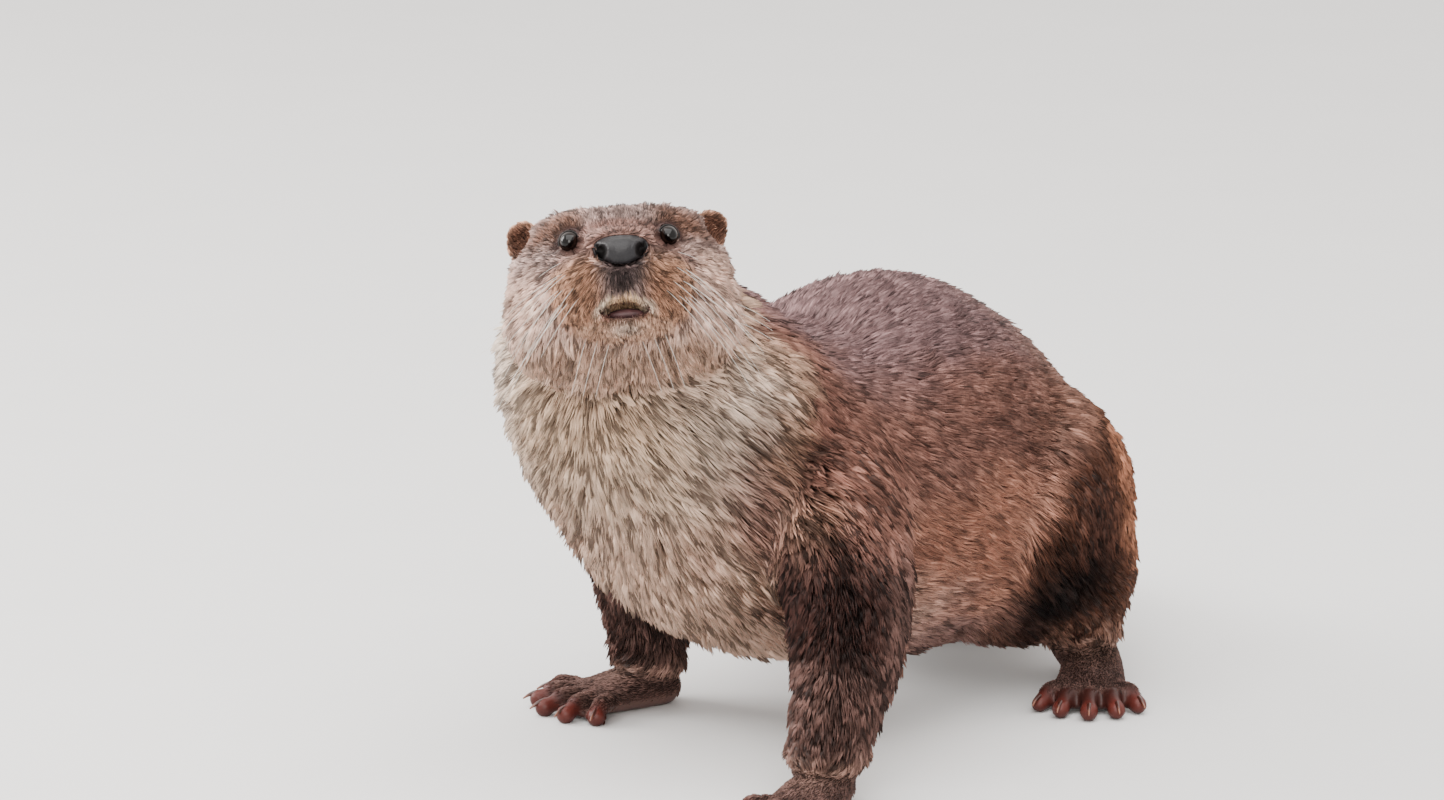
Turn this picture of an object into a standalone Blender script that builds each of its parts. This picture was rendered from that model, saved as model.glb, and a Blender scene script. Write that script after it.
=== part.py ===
"""A life-size Eurasian otter, standing still on its four feet with its head raised, for a museum display.

Frame: metres, +Z up, the floor at Z = 0. The trunk lies along +Y with the head at -Y, and the otter's left
side is at +X.
The whole body is modelled in one piece from tubes, blended, laid on the floor, and parted with thin cuts.
"""

import math

import bmesh
import bpy
import numpy as np
from mathutils import Matrix, Vector

for leftover in list(bpy.data.objects):
    bpy.data.objects.remove(leftover)

# ---------------------------------------------------------------- driving dimensions

EYE_RADIUS = 0.0062
EYE_SPACING = 0.0516  # centre to centre
EAR_WIDTH = 0.019
EAR_HEIGHT = 0.021
EAR_THICKNESS = 0.0100
EAR_HOLLOW = 0.0056
NOSE_PAD_WIDTH = 0.030
NOSE_PAD_HEIGHT = 0.0165
TOE_RADIUS_FRONT = 0.0052
TOE_RADIUS_HIND = 0.0056
CLAW_LENGTH = 0.0085
CLAW_RADIUS = 0.0016
SOLE_DEPTH = 0.0012  # how far the round soles dip below the floor before they are cut flat
CUT = 0.0003  # the gap that parts two neighbouring pieces
FINE = 0.0026  # edge of the cells that blend the tubes into one body
TRIANGLES = 3000  # of the whole body before it is parted
UP = Vector((0.0, 0.0, 1.0))


def local_frame(origin, yaw, pitch=0.0, roll=0.0):
    """A frame whose +X is the left, -Y is forward and +Z is up, turned by angles in degrees.

    A positive yaw turns forward towards the otter's left, a positive pitch raises it.
    """
    turn = Matrix.Rotation(math.radians(yaw), 4, "Z") @ Matrix.Rotation(math.radians(-pitch), 4, "X")
    return Matrix.Translation(origin) @ turn @ Matrix.Rotation(math.radians(roll), 4, "Y")


HEAD = local_frame((-0.0168, 0.0273, 0.2795), yaw=36.0, pitch=25.0, roll=-3.5)

# ---------------------------------------------------------------- tubes


def along(rows, count):
    """Rows of numbers joined by a Catmull-Rom curve, read at count even steps of its length."""
    rows = np.array(rows, float)
    padded = np.vstack([2 * rows[0] - rows[1], rows, 2 * rows[-1] - rows[-2]])
    fine = []
    for p0, p1, p2, p3 in zip(padded, padded[1:], padded[2:], padded[3:]):
        for t in np.linspace(0, 1, 16, endpoint=False):
            bend = (2 * p0 - 5 * p1 + 4 * p2 - p3) * t**2 + (3 * p1 - p0 - 3 * p2 + p3) * t**3
            fine.append(0.5 * (2 * p1 + (p2 - p0) * t + bend))
    fine.append(rows[-1])
    fine = np.array(fine)
    length = np.concatenate([[0], np.cumsum(np.linalg.norm(np.diff(fine[:, :3], axis=0), axis=1))])
    at = np.linspace(0, length[-1], count)
    return np.stack([np.interp(at, length, column) for column in fine.T], axis=1)


def rounded_ends(path, steps):
    """The path with a dome of rings added at each end, so that the tube closes smoothly."""
    domes = []
    for end, before in ((0, 1), (-1, -2)):
        out = path[end, :3] - path[before, :3]
        out /= np.linalg.norm(out)
        reach = min(path[end, 3], path[end, 4])
        rings = []
        for angle in np.linspace(0, math.pi / 2, steps + 1)[1:]:
            ring = path[end].copy()
            ring[:3] += out * reach * math.sin(angle)
            ring[3:] *= max(math.cos(angle), 0.02)
            rings.append(ring)
        domes.append(rings)
    return np.vstack([domes[0][::-1], path, domes[1]])


def carried_sides(points, first_side):
    """Tangents, sides and ups along a path; the first side vector is carried along without twist."""
    tangents = np.gradient(points, axis=0)
    tangents /= np.linalg.norm(tangents, axis=1)[:, None]
    side = np.array(first_side, float)
    sides = []
    for tangent in tangents:
        side = side - tangent * (side @ tangent)
        side /= np.linalg.norm(side)
        sides.append(side)
    sides = np.array(sides)
    return tangents, sides, np.cross(sides, tangents)


def ring_faces(rings, sides):
    """Quads between rings of points, and a fan over the first and the last ring."""
    faces = []
    for ring in range(rings - 1):
        for side in range(sides):
            a, b = ring * sides + side, ring * sides + (side + 1) % sides
            faces.append((a, b, b + sides, a + sides))
    faces.append(tuple(range(sides))[::-1])
    faces.append(tuple(range((rings - 1) * sides, rings * sides)))
    return faces


def tube(rows, first_side=(1, 0, 0), count=28, sides=24, squareness=2.0, dome=4):
    """A closed tube. Each row is x, y, z, half-width, half-height, and optionally the half-height below."""
    path = rounded_ends(along(rows, count), dome)
    _, side_vectors, up_vectors = carried_sides(path[:, :3], first_side)
    angle = np.linspace(0, 2 * math.pi, sides, endpoint=False)
    across = np.sign(np.cos(angle)) * np.abs(np.cos(angle)) ** (2 / squareness)
    upward = np.sign(np.sin(angle)) * np.abs(np.sin(angle)) ** (2 / squareness)
    low = path[:, -1:]
    height = np.where(upward > 0, path[:, 4:5], low) * upward
    width = path[:, 3:4] * across
    points = path[:, None, :3] + side_vectors[:, None] * width[..., None]
    points = points + up_vectors[:, None] * height[..., None]
    return points.reshape(-1, 3), ring_faces(len(path), sides)


def placed(shape, frame):
    """The same shape, moved from a local frame to the world."""
    points, faces = shape
    matrix = np.array(frame)
    return points @ matrix[:3, :3].T + matrix[:3, 3], faces


# ---------------------------------------------------------------- spine: neck, trunk and tail

# x, y, z of the section's middle, half-width, half-height above, half-height below
SPINE = [
    (-0.0290, 0.0390, 0.2760, 0.049, 0.039, 0.040),  # inside the skull
    (-0.0360, 0.0600, 0.2550, 0.068, 0.050, 0.055),  # nape
    (-0.0390, 0.0790, 0.2270, 0.084, 0.063, 0.068),  # middle of the neck
    (-0.0340, 0.1020, 0.1950, 0.090, 0.074, 0.079),  # base of the neck
    (-0.0240, 0.1340, 0.1640, 0.090, 0.085, 0.093),  # shoulders
    (-0.0140, 0.1800, 0.1490, 0.089, 0.090, 0.102),  # ribs
    (-0.0080, 0.2300, 0.1450, 0.091, 0.103, 0.107),  # middle of the back
    (-0.0070, 0.2800, 0.1410, 0.092, 0.106, 0.112),  # loin, the top of the arch
    (-0.0080, 0.3280, 0.1280, 0.086, 0.091, 0.104),  # hips
    (-0.0160, 0.3750, 0.1050, 0.073, 0.073, 0.084),  # rump
    (-0.0230, 0.4150, 0.0900, 0.056, 0.056, 0.056),  # root of the tail
]
TAIL = [
    (-0.0200, 0.4000, 0.0980, 0.057, 0.057, 0.055),
    (-0.0400, 0.4600, 0.0620, 0.038, 0.038, 0.036),
    (-0.0800, 0.5020, 0.0360, 0.030, 0.029, 0.029),
    (-0.1330, 0.5330, 0.0215, 0.0245, 0.0225, 0.0225),
    (-0.1900, 0.5450, 0.0158, 0.0190, 0.0170, 0.0170),
    (-0.2450, 0.5350, 0.0113, 0.0140, 0.0125, 0.0125),
    (-0.2920, 0.5100, 0.0073, 0.0090, 0.0085, 0.0085),
    (-0.3150, 0.4900, 0.0043, 0.0050, 0.0052, 0.0052),
]

# ---------------------------------------------------------------- head

# distance forward of the ears, half-width, top, bottom, height of the widest line, squareness
HEAD_SECTIONS = [
    (-0.036, 0.0450, 0.0330, -0.0460, -0.004, 2.5),
    (-0.018, 0.0555, 0.0400, -0.0480, -0.004, 3.0),
    (0.000, 0.0585, 0.0425, -0.0465, -0.005, 3.3),
    (0.016, 0.0575, 0.0430, -0.0440, -0.007, 3.3),
    (0.030, 0.0530, 0.0405, -0.0420, -0.008, 3.0),
    (0.042, 0.0470, 0.0355, -0.0400, -0.008, 2.7),
    (0.052, 0.0405, 0.0300, -0.0385, -0.008, 2.4),
    (0.062, 0.0360, 0.0250, -0.0372, -0.009, 2.35),
    (0.072, 0.0335, 0.0208, -0.0350, -0.009, 2.35),
    (0.081, 0.0290, 0.0175, -0.0305, -0.006, 2.3),
    (0.088, 0.0225, 0.0150, -0.0190, -0.002, 2.2),
    (0.092, 0.0130, 0.0110, -0.0090, 0.001, 2.0),
]
EYE_PLACE = Vector((EYE_SPACING / 2, -0.0495, 0.0190))
EAR_PLACE = Vector((0.0497, -0.0085, 0.0292))
NOSE_PAD_PLACE = Vector((0.0, -0.0888, 0.0036))
# centre in the head's frame, radius, push: bulges and hollows that both sides of the face share
HEAD_FORMS = [
    ((0.0180, -0.0770, -0.0080), 0.0110, (0.0025, -0.0030, -0.0010)),  # whisker pad
    ((0.0270, -0.0460, 0.0310), 0.0090, (0.0015, -0.0010, 0.0020)),  # brow
    ((0.0270, -0.0560, 0.0190), 0.0090, (-0.0010, 0.0030, -0.0005)),  # eye socket
    ((0.0170, -0.0660, 0.0185), 0.0080, (-0.0020, 0.0, -0.0015)),  # side of the muzzle's bridge
    ((0.0480, -0.0180, -0.0180), 0.0170, (0.0030, 0.0, -0.0030)),  # cheek
    ((0.0, -0.0740, -0.0340), 0.0100, (0.0, -0.0030, -0.0010)),  # chin
]


def head_shell(count=44, sides=36):
    rows = [(0.0, -row[0], (row[2] + row[3]) / 2, *row[1:]) for row in HEAD_SECTIONS]
    path = along(rows, count)
    angle = np.linspace(0, 2 * math.pi, sides, endpoint=False)
    across, upward = np.cos(angle), np.sin(angle)
    half, top, low, widest, squareness = (path[:, column : column + 1] for column in (3, 4, 5, 6, 7))
    across = np.sign(across) * np.abs(across) ** (2 / squareness)
    upward = np.sign(upward) * np.abs(upward) ** (2 / squareness)
    x = half * across
    z = widest + np.where(upward > 0, top - widest, widest - low) * upward
    y = np.repeat(path[:, 1:2], sides, axis=1)
    points = np.stack([x, y, z], axis=-1).reshape(-1, 3)
    for centre, radius, push in HEAD_FORMS:
        for mirror in (1, -1):
            flip = np.array([mirror, 1, 1])
            near = np.linalg.norm(points - np.array(centre) * flip, axis=1) / radius
            share = 0.5 if centre[0] == 0 else 1.0
            points = points + share * np.exp(-(near**2))[:, None] * np.array(push) * flip
    return points, ring_faces(count, sides)


def ear_shell(side):
    """A small round cup: a flat ball whose front is pushed in."""
    half = np.array([EAR_WIDTH / 2, EAR_THICKNESS / 2, EAR_HEIGHT / 2])
    rows = [(0, 0, -half[2], 0.0030, half[1] * 0.8), (0, 0, 0, half[0], half[1])]
    rows.append((0, 0, half[2] * 0.7, half[0] * 0.7, half[1] * 0.8))
    points, faces = tube(rows, first_side=(1, 0, 0), count=12, sides=20)
    radial = np.linalg.norm(points[:, [0, 2]] / half[[0, 2]], axis=1)
    front = points[:, 1] < 0
    points[:, 1] += np.where(front, EAR_HOLLOW * np.clip(1 - radial**2, 0, 1), 0)
    turned = local_frame(EAR_PLACE * Vector((side, 1, 1)), yaw=26 * side, pitch=-8, roll=24 * side)
    return placed((points, faces), HEAD @ turned)


# ---------------------------------------------------------------- legs

# outside of the foreleg, from inside the shoulder to the wrist: x, y, z, half-width, half-depth
FORELEG_LEFT = [
    (0.0360, 0.1500, 0.1720, 0.034, 0.045),
    (0.0600, 0.1280, 0.1400, 0.036, 0.044),
    (0.0800, 0.1060, 0.1080, 0.034, 0.036),
    (0.0880, 0.0920, 0.0760, 0.0290, 0.0300),
    (0.0910, 0.0760, 0.0480, 0.0235, 0.0225),
    (0.0925, 0.0650, 0.0240, 0.0195, 0.0160),
]
FORELEG_RIGHT = [
    (-0.0560, 0.1640, 0.1650, 0.032, 0.042),
    (-0.0750, 0.1570, 0.1320, 0.033, 0.040),
    (-0.0930, 0.1620, 0.1000, 0.032, 0.036),
    (-0.1020, 0.1710, 0.0720, 0.0275, 0.0290),
    (-0.1070, 0.1780, 0.0460, 0.0225, 0.0215),
    (-0.1110, 0.1830, 0.0240, 0.0190, 0.0160),
]
# thigh: hip to knee; shank: knee to heel
THIGH_LEFT = [
    (0.0300, 0.3650, 0.1300, 0.045, 0.055),
    (0.0560, 0.3450, 0.1200, 0.050, 0.058),
    (0.0740, 0.3220, 0.1020, 0.041, 0.046),
]
SHANK_LEFT = [
    (0.0740, 0.3240, 0.1050, 0.042, 0.047),
    (0.0720, 0.3500, 0.0720, 0.036, 0.038),
    (0.0650, 0.3680, 0.0440, 0.0255, 0.0265),
    (0.0630, 0.3730, 0.0240, 0.0190, 0.0200),
]
THIGH_RIGHT = [
    (-0.0400, 0.3700, 0.1250, 0.045, 0.055),
    (-0.0640, 0.3600, 0.1120, 0.048, 0.057),
    (-0.0810, 0.3400, 0.0960, 0.039, 0.044),
]
SHANK_RIGHT = [
    (-0.0820, 0.3400, 0.0980, 0.038, 0.043),
    (-0.0860, 0.3700, 0.0700, 0.028, 0.031),
    (-0.0840, 0.3950, 0.0430, 0.0205, 0.0225),
    (-0.0830, 0.4000, 0.0240, 0.0170, 0.0190),
]

# the loose skin between the belly and the knee
FOLD_LEFT = [
    (0.0350, 0.2800, 0.0850, 0.034, 0.040),
    (0.0500, 0.3080, 0.0740, 0.034, 0.042),
    (0.0620, 0.3360, 0.0700, 0.030, 0.038),
]
FOLD_RIGHT = [(-x - 0.016, y + 0.018, z, half, deep) for x, y, z, half, deep in FOLD_LEFT]
LEGS = [FORELEG_LEFT, FORELEG_RIGHT, THIGH_LEFT, THIGH_RIGHT, SHANK_LEFT, SHANK_RIGHT, FOLD_LEFT, FOLD_RIGHT]

# ---------------------------------------------------------------- feet

# root across the palm as a share of its half-width, splay in degrees, length
FRONT_TOES = [
    (-0.88, -44, 0.0220),
    (-0.46, -21, 0.0290),
    (0.00, 0, 0.0310),
    (0.46, 21, 0.0290),
    (0.88, 44, 0.0220),
]
HIND_TOES = [
    (-0.82, -24, 0.0290),
    (-0.44, -10, 0.0370),
    (0.00, 2, 0.0400),
    (0.44, 13, 0.0370),
    (0.82, 27, 0.0290),
]
# heel on the floor, yaw, length from the heel to the toes' roots, half-width of the palm, toes, toe radius
FEET = {
    "forefoot_left": ((0.0930, 0.0660, -SOLE_DEPTH), 14.0, 0.036, 0.0225, FRONT_TOES, TOE_RADIUS_FRONT),
    "forefoot_right": ((-0.1090, 0.1850, -SOLE_DEPTH), -30.0, 0.036, 0.0225, FRONT_TOES, TOE_RADIUS_FRONT),
    "hindfoot_left": ((0.0660, 0.3830, -SOLE_DEPTH), 30.0, 0.062, 0.0220, HIND_TOES, TOE_RADIUS_HIND),
    "hindfoot_right": ((-0.0820, 0.4080, -SOLE_DEPTH), -24.0, 0.062, 0.0220, HIND_TOES, TOE_RADIUS_HIND),
}


def foot_frame(name):
    heel, yaw = FEET[name][:2]
    return local_frame(heel, yaw)


def toe_line(name, index):
    """Root and tip of a toe's middle line, in the foot's own frame."""
    _, _, palm, half, toes, radius = FEET[name]
    across, splay, length = toes[index]
    direction = Vector((math.sin(math.radians(splay)), -math.cos(math.radians(splay)), 0.0))
    bow = 0.006 * (1 - across**2)
    root = Vector((across * half, -palm - bow, radius * 1.6))
    return root, root + direction * length, direction


def foot_shapes(name):
    """The palm, five toes with their ball-like tips, and the webs between them."""
    _, _, palm, half, toes, radius = FEET[name]
    shapes = [
        tube(
            [
                (0, 0.004, 0.0120, half * 0.66, 0.0120),
                (0, -palm * 0.45, 0.0110, half * 0.84, 0.0110),
                (0, -palm - 0.002, 0.0085, half * 0.98, 0.0080),
            ],
            count=14,
            squareness=2.4,
        )
    ]
    for index in range(len(toes)):
        root, tip, direction = toe_line(name, index)
        back = root - direction * 0.010
        knuckle = root.lerp(tip, 0.45) + UP * 0.0030
        rows = [
            (*back, radius, radius),
            (*knuckle, radius * 0.92, radius),
            (*(tip - direction * radius - UP * radius * 0.45), radius * 1.12, radius * 1.12),
        ]
        shapes.append(tube(rows, first_side=(-direction.y, direction.x, 0), count=12, sides=14))
    for index in range(len(toes) - 1):
        one, two = toe_line(name, index), toe_line(name, index + 1)
        rows = []
        for share in (-0.2, 0.2, 0.55):
            a, b = one[0].lerp(one[1], share), two[0].lerp(two[1], share)
            middle = (a + b) / 2
            rows.append((middle.x, middle.y, radius * 0.95, (a - b).length / 2, 0.0023))
        shapes.append(tube(rows, first_side=(one[0] - two[0]).normalized(), count=8, sides=14))
    return [placed(shape, foot_frame(name)) for shape in shapes]


# ---------------------------------------------------------------- making meshes


def new_object(name, points, faces):
    mesh = bpy.data.meshes.new(name)
    mesh.from_pydata([tuple(p) for p in points], [], faces)
    made = bpy.data.objects.new(name, mesh)
    bpy.context.scene.collection.objects.link(made)
    work = bmesh.new()
    work.from_mesh(mesh)
    bmesh.ops.recalc_face_normals(work, faces=work.faces)
    work.to_mesh(mesh)
    work.free()
    return made


def joined(shapes):
    """Several shapes as one list of points and one of faces."""
    points, faces = [], []
    for shape_points, shape_faces in shapes:
        start = len(points)
        points.extend(shape_points)
        faces.extend(tuple(index + start for index in face) for face in shape_faces)
    return points, faces


def applied(made):
    """The object with its modifiers turned into mesh."""
    graph = bpy.context.evaluated_depsgraph_get()
    graph.update()
    mesh = bpy.data.meshes.new_from_object(made.evaluated_get(graph))
    made.modifiers.clear()
    made.data = mesh
    return made


def add_modifier(made, kind, **settings):
    modifier = made.modifiers.new(kind.lower(), kind)
    for setting, value in settings.items():
        setattr(modifier, setting, value)
    return modifier


def weights_near(made, name, weight):
    """A vertex group whose weight is a function of the points."""
    points = np.array([vertex.co for vertex in made.data.vertices])
    group = made.vertex_groups.new(name=name)
    for index, value in enumerate(weight(points)):
        if value > 0.01:
            group.add([index], float(min(value, 1.0)), "REPLACE")


def near(points, centre, radius):
    return np.exp(-((np.linalg.norm(points - np.array(centre), axis=1) / radius) ** 2))


def blend_weight(points):
    """Where a leg or the tail grows out of the trunk, its edge is smoothed away."""
    places = [
        ((0.055, 0.135, 0.135), 0.050),
        ((-0.074, 0.160, 0.128), 0.045),
        ((0.065, 0.330, 0.110), 0.070),
        ((-0.072, 0.350, 0.105), 0.070),
        ((-0.022, 0.425, 0.090), 0.060),
        ((-0.030, 0.070, 0.245), 0.045),
    ]
    return sum(near(points, centre, radius) for centre, radius in places)


def whole_body():
    shapes = [tube(SPINE, count=56, sides=36), tube(TAIL, count=36)]
    shapes.append(placed(head_shell(), HEAD))
    shapes.extend(ear_shell(side) for side in (1, -1))
    for leg in LEGS:
        shapes.append(tube(leg, count=20))
    for name in FEET:
        shapes.extend(foot_shapes(name))
    body = new_object("body", *joined(shapes))
    add_modifier(body, "REMESH", mode="VOXEL", voxel_size=FINE)
    applied(body)
    weights_near(body, "blend", blend_weight)
    add_modifier(body, "SMOOTH", factor=0.5, iterations=220, vertex_group="blend")
    applied(body)
    add_modifier(body, "SMOOTH", factor=0.5, iterations=5)
    applied(body)
    share = TRIANGLES / (2 * len(body.data.polygons))
    add_modifier(body, "DECIMATE", ratio=share)
    return applied(body)


# ---------------------------------------------------------------- eyes, nose pad and claws


def ball(name, radius, frame, segments=12, rings=8):
    work = bmesh.new()
    bmesh.ops.create_uvsphere(work, u_segments=segments, v_segments=rings, radius=radius)
    mesh = bpy.data.meshes.new(name)
    work.to_mesh(mesh)
    work.free()
    mesh.transform(frame)
    made = bpy.data.objects.new(name, mesh)
    bpy.context.scene.collection.objects.link(made)
    return made


def eye_frame(side):
    return HEAD @ local_frame(EYE_PLACE * Vector((side, 1, 1)), yaw=24 * side, pitch=10)


NOSE_FRAME = HEAD @ Matrix.Translation(NOSE_PAD_PLACE)


def nose_pad_shape(grow=0.0):
    """The bare pad on the tip of the muzzle: wide above, narrow below, rounded forward."""
    half, high = NOSE_PAD_WIDTH / 2 + grow, NOSE_PAD_HEIGHT / 2 + grow
    rows = [
        (0, 0.0060 + grow, 0.0004, half * 0.86, high * 0.90, high * 0.92),
        (0, 0.0010, 0.0002, half, high, high),
        (0, -0.0035 - grow, -0.0006, half * 0.86, high * 0.84, high * 0.86),
    ]
    points, faces = tube(rows, count=4, sides=14, squareness=2.5, dome=2)
    narrow = 1 - 0.14 * np.clip(-points[:, 2] / high, 0, 1)
    points[:, 0] *= narrow
    return placed((points, faces), NOSE_FRAME @ Matrix.Rotation(math.radians(8), 4, "X"))


def nostril_shape(side):
    outer = (side * 0.0114, -0.0140, -0.0006, 0.0026, 0.0036)
    inner = (side * 0.0098, -0.0020, 0.0006, 0.0022, 0.0030)
    return placed(tube([outer, inner], count=3, sides=8, dome=1), NOSE_FRAME)


def claw_shape(name, index, grow=0.0):
    """A short curved cone that leaves the top of a toe's tip."""
    radius = FEET[name][5]
    _, tip, direction = toe_line(name, index)
    thick = CLAW_RADIUS + grow
    start = tip - direction * (radius * 0.9 + grow) + UP * radius * 0.25
    rows = []
    for share in (0.0, 0.35, 0.7, 1.0):
        place = start + direction * (CLAW_LENGTH + grow) * share - UP * 0.0032 * share**2
        rows.append((*place, thick * (1 - 0.75 * share), thick * 1.25 * (1 - 0.75 * share)))
    across = (-direction.y, direction.x, 0)
    return placed(tube(rows, first_side=across, count=3, sides=5, dome=1), foot_frame(name))


# ---------------------------------------------------------------- parting the body


def block(name, frame, low, high):
    """A box between two corners of a frame, used to cut with."""
    span = list(zip(low, high))
    corners = [frame @ Vector((x, y, z)) for x in span[0] for y in span[1] for z in span[2]]
    faces = [(0, 1, 3, 2), (4, 6, 7, 5), (0, 4, 5, 1), (2, 3, 7, 6), (0, 2, 6, 4), (1, 5, 7, 3)]
    return new_object(name, corners, faces)


def boolean(made, other, operation):
    add_modifier(made, "BOOLEAN", object=other, operation=operation)
    return applied(made)


def remove(*objects):
    for each in objects:
        bpy.data.objects.remove(each)


def part_off(whole, name, frame, low, high):
    """Takes what lies in the box out of the whole as a piece of its own, a thin cut away from the rest."""
    piece = whole.copy()
    piece.data = whole.data.copy()
    piece.name = name
    bpy.context.scene.collection.objects.link(piece)
    keep = block("keep", frame, low, high)
    drop = block("drop", frame, [x - CUT for x in low], [x + CUT for x in high])
    boolean(piece, keep, "INTERSECT")
    boolean(whole, drop, "DIFFERENCE")
    remove(keep, drop)
    return piece


def along_axis(origin, direction, side=(1, 0, 0)):
    """A frame at origin whose +Z runs along direction."""
    z = Vector(direction).normalized()
    x = Vector(side)
    x = (x - z * x.dot(z)).normalized()
    return Matrix.Translation(origin) @ Matrix((x, z.cross(x), z)).transposed().to_4x4()


def mouth_shape():
    """A wedge that opens the mouth from its corners forward."""
    rows = [
        (0, -0.0580, -0.0262, 0.0100, 0.0012),
        (0, -0.0660, -0.0264, 0.0120, 0.0032),
        (0, -0.0780, -0.0270, 0.0130, 0.0044),
        (0, -0.1000, -0.0285, 0.0132, 0.0050),
    ]
    return placed(tube(rows, count=6, sides=12, squareness=2.8, dome=1), HEAD)


# ---------------------------------------------------------------- materials

# linear red, green, blue and roughness
FINISHES = {
    "brown_coat": ((0.120, 0.075, 0.050), 0.85),
    "pale_coat": ((0.430, 0.340, 0.250), 0.85),
    "dark_coat": ((0.050, 0.028, 0.020), 0.85),
    "bare_skin": ((0.110, 0.040, 0.030), 0.55),
    "nose_skin": ((0.022, 0.022, 0.026), 0.40),
    "eye": ((0.006, 0.006, 0.010), 0.06),
    "claw": ((0.330, 0.150, 0.090), 0.35),
}


def finish(made, name):
    """Gives the object a material of its own in one of the finishes, and smooth shading."""
    colour, roughness = FINISHES[name]
    material = bpy.data.materials.new(f"{made.name}_{name}")
    material.use_nodes = True
    shader = material.node_tree.nodes["Principled BSDF"]
    shader.inputs["Base Color"].default_value = (*colour, 1.0)
    shader.inputs["Roughness"].default_value = roughness
    shader.inputs["Metallic"].default_value = 0.0
    made.data.materials.clear()
    made.data.materials.append(material)
    made.data.shade_smooth()
    made.data.set_sharp_from_angle(angle=math.radians(50))


# ---------------------------------------------------------------- making the otter

FAR = 0.3  # a box's side that lies well outside the body
ANKLE = 0.030  # height above the floor at which the feet are parted from the legs


def foot_cut(name):
    """The box round one foot, up to its ankle."""
    _, _, palm, half, _, _ = FEET[name]
    low = (-half * 2.3, -palm - 0.06, -0.01)
    high = (half * 2.3, 0.028, ANKLE)
    return (name, "bare_skin", foot_frame(name), low, high)


def ear_cut(name, side):
    """The box round one ear, above the line where it leaves the skull."""
    frame = HEAD @ local_frame(EAR_PLACE * Vector((side, 1, 1)), 26 * side, 0, 30 * side)
    return (name, "brown_coat", frame, (-0.0125, -0.010, -0.0020), (0.0125, 0.010, 0.02))


LEFT_ELBOW = along_axis((0.068, 0.118, 0.118), (0.33, -0.45, -0.83))
RIGHT_ELBOW = along_axis((-0.087, 0.160, 0.112), (-0.26, 0.20, -0.94))
LEFT_KNEE = along_axis((0.074, 0.345, 0.078), (-0.12, 0.35, -0.90))
RIGHT_KNEE = along_axis((-0.085, 0.365, 0.074), (0.0, 0.40, -0.90))
LEFT_HIP = along_axis((0.058, 0.335, 0.0), (0.14, 0, 1))
RIGHT_HIP = along_axis((-0.064, 0.350, 0.0), (-0.14, 0, 1))
TAIL_THIRD = along_axis((-0.215, 0.543, 0.015), (-1, -0.1, 0), (0, 1, 0))
TAIL_SECOND = along_axis((-0.090, 0.510, 0.033), (-1, 0.55, -0.2), (0, 0, 1))
TAIL_FIRST = along_axis((-0.026, 0.425, 0.088), (-0.3, 1, -0.7))
NECK_BASE = along_axis((-0.032, 0.112, 0.188), (0.1, -0.62, 0.78))
NAPE = HEAD @ local_frame((0, -0.005, 0.0025), 0, -25)
WORLD = Matrix.Identity(4)

# Each piece that is taken off the body, in turn: name, finish, frame of its box, the box's two corners.
CUTS = [
    *(foot_cut(name) for name in FEET),
    ear_cut("ear_left", 1),
    ear_cut("ear_right", -1),
    ("lower_jaw", "pale_coat", HEAD, (-0.05, -0.13, -0.060), (0.05, -0.0500, -0.0250)),
    ("head", "brown_coat", NAPE, (-0.12, -FAR, -0.040), (0.12, 0, 0.12)),
    ("foreleg_left", "dark_coat", LEFT_ELBOW, (-0.022, -0.048, 0), (0.08, 0.048, 0.16)),
    ("foreleg_right", "dark_coat", RIGHT_ELBOW, (-0.08, -0.048, 0), (0.024, 0.048, 0.16)),
    ("lower_leg_left", "dark_coat", LEFT_KNEE, (-0.045, -0.06, 0), (0.08, 0.06, 0.10)),
    ("lower_leg_right", "dark_coat", RIGHT_KNEE, (-0.08, -0.06, 0), (0.045, 0.06, 0.10)),
    ("thigh_left", "brown_coat", LEFT_HIP, (0, -0.062, 0.02), (0.1, 0.08, 0.178)),
    ("thigh_right", "brown_coat", RIGHT_HIP, (-0.1, -0.062, 0.02), (0, 0.068, 0.172)),
    ("tail_tip", "dark_coat", TAIL_THIRD, (-0.08, -FAR, 0), (0.05, FAR, 0.2)),
    ("tail_middle", "brown_coat", TAIL_SECOND, (-0.1, -0.1, 0), (0.1, 0.1, 0.2)),
    ("tail_root", "brown_coat", TAIL_FIRST, (-0.1, -0.1, 0), (0.1, 0.1, 0.2)),
    ("neck", "pale_coat", NECK_BASE, (-0.15, -0.2, 0), (0.15, 0.2, 0.25)),
    ("chest", "pale_coat", WORLD, (-FAR, -FAR, -FAR), (FAR, 0.205, FAR)),
    ("abdomen", "brown_coat", WORLD, (-FAR, -FAR, -FAR), (FAR, 0.318, FAR)),
]

body = whole_body()
floor = block("floor", WORLD, (-1, -1, -1), (1, 1, 0))
boolean(body, floor, "DIFFERENCE")
remove(floor)

pieces = []
for side, name in ((1, "eye_left"), (-1, "eye_right")):
    eye = ball(name, EYE_RADIUS, eye_frame(side))
    socket = ball("socket", EYE_RADIUS + CUT, eye_frame(side))
    boolean(body, socket, "DIFFERENCE")
    remove(socket)
    pieces.append((eye, "eye"))

nose_pad = new_object("nose_pad", *nose_pad_shape())
pocket = new_object("pocket", *nose_pad_shape(CUT))
boolean(body, pocket, "DIFFERENCE")
nostrils = new_object("nostrils", *joined([nostril_shape(side) for side in (1, -1)]))
boolean(nose_pad, nostrils, "DIFFERENCE")
mouth = new_object("mouth", *mouth_shape())
boolean(body, mouth, "DIFFERENCE")
remove(pocket, nostrils, mouth)
pieces.append((nose_pad, "nose_skin"))

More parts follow.
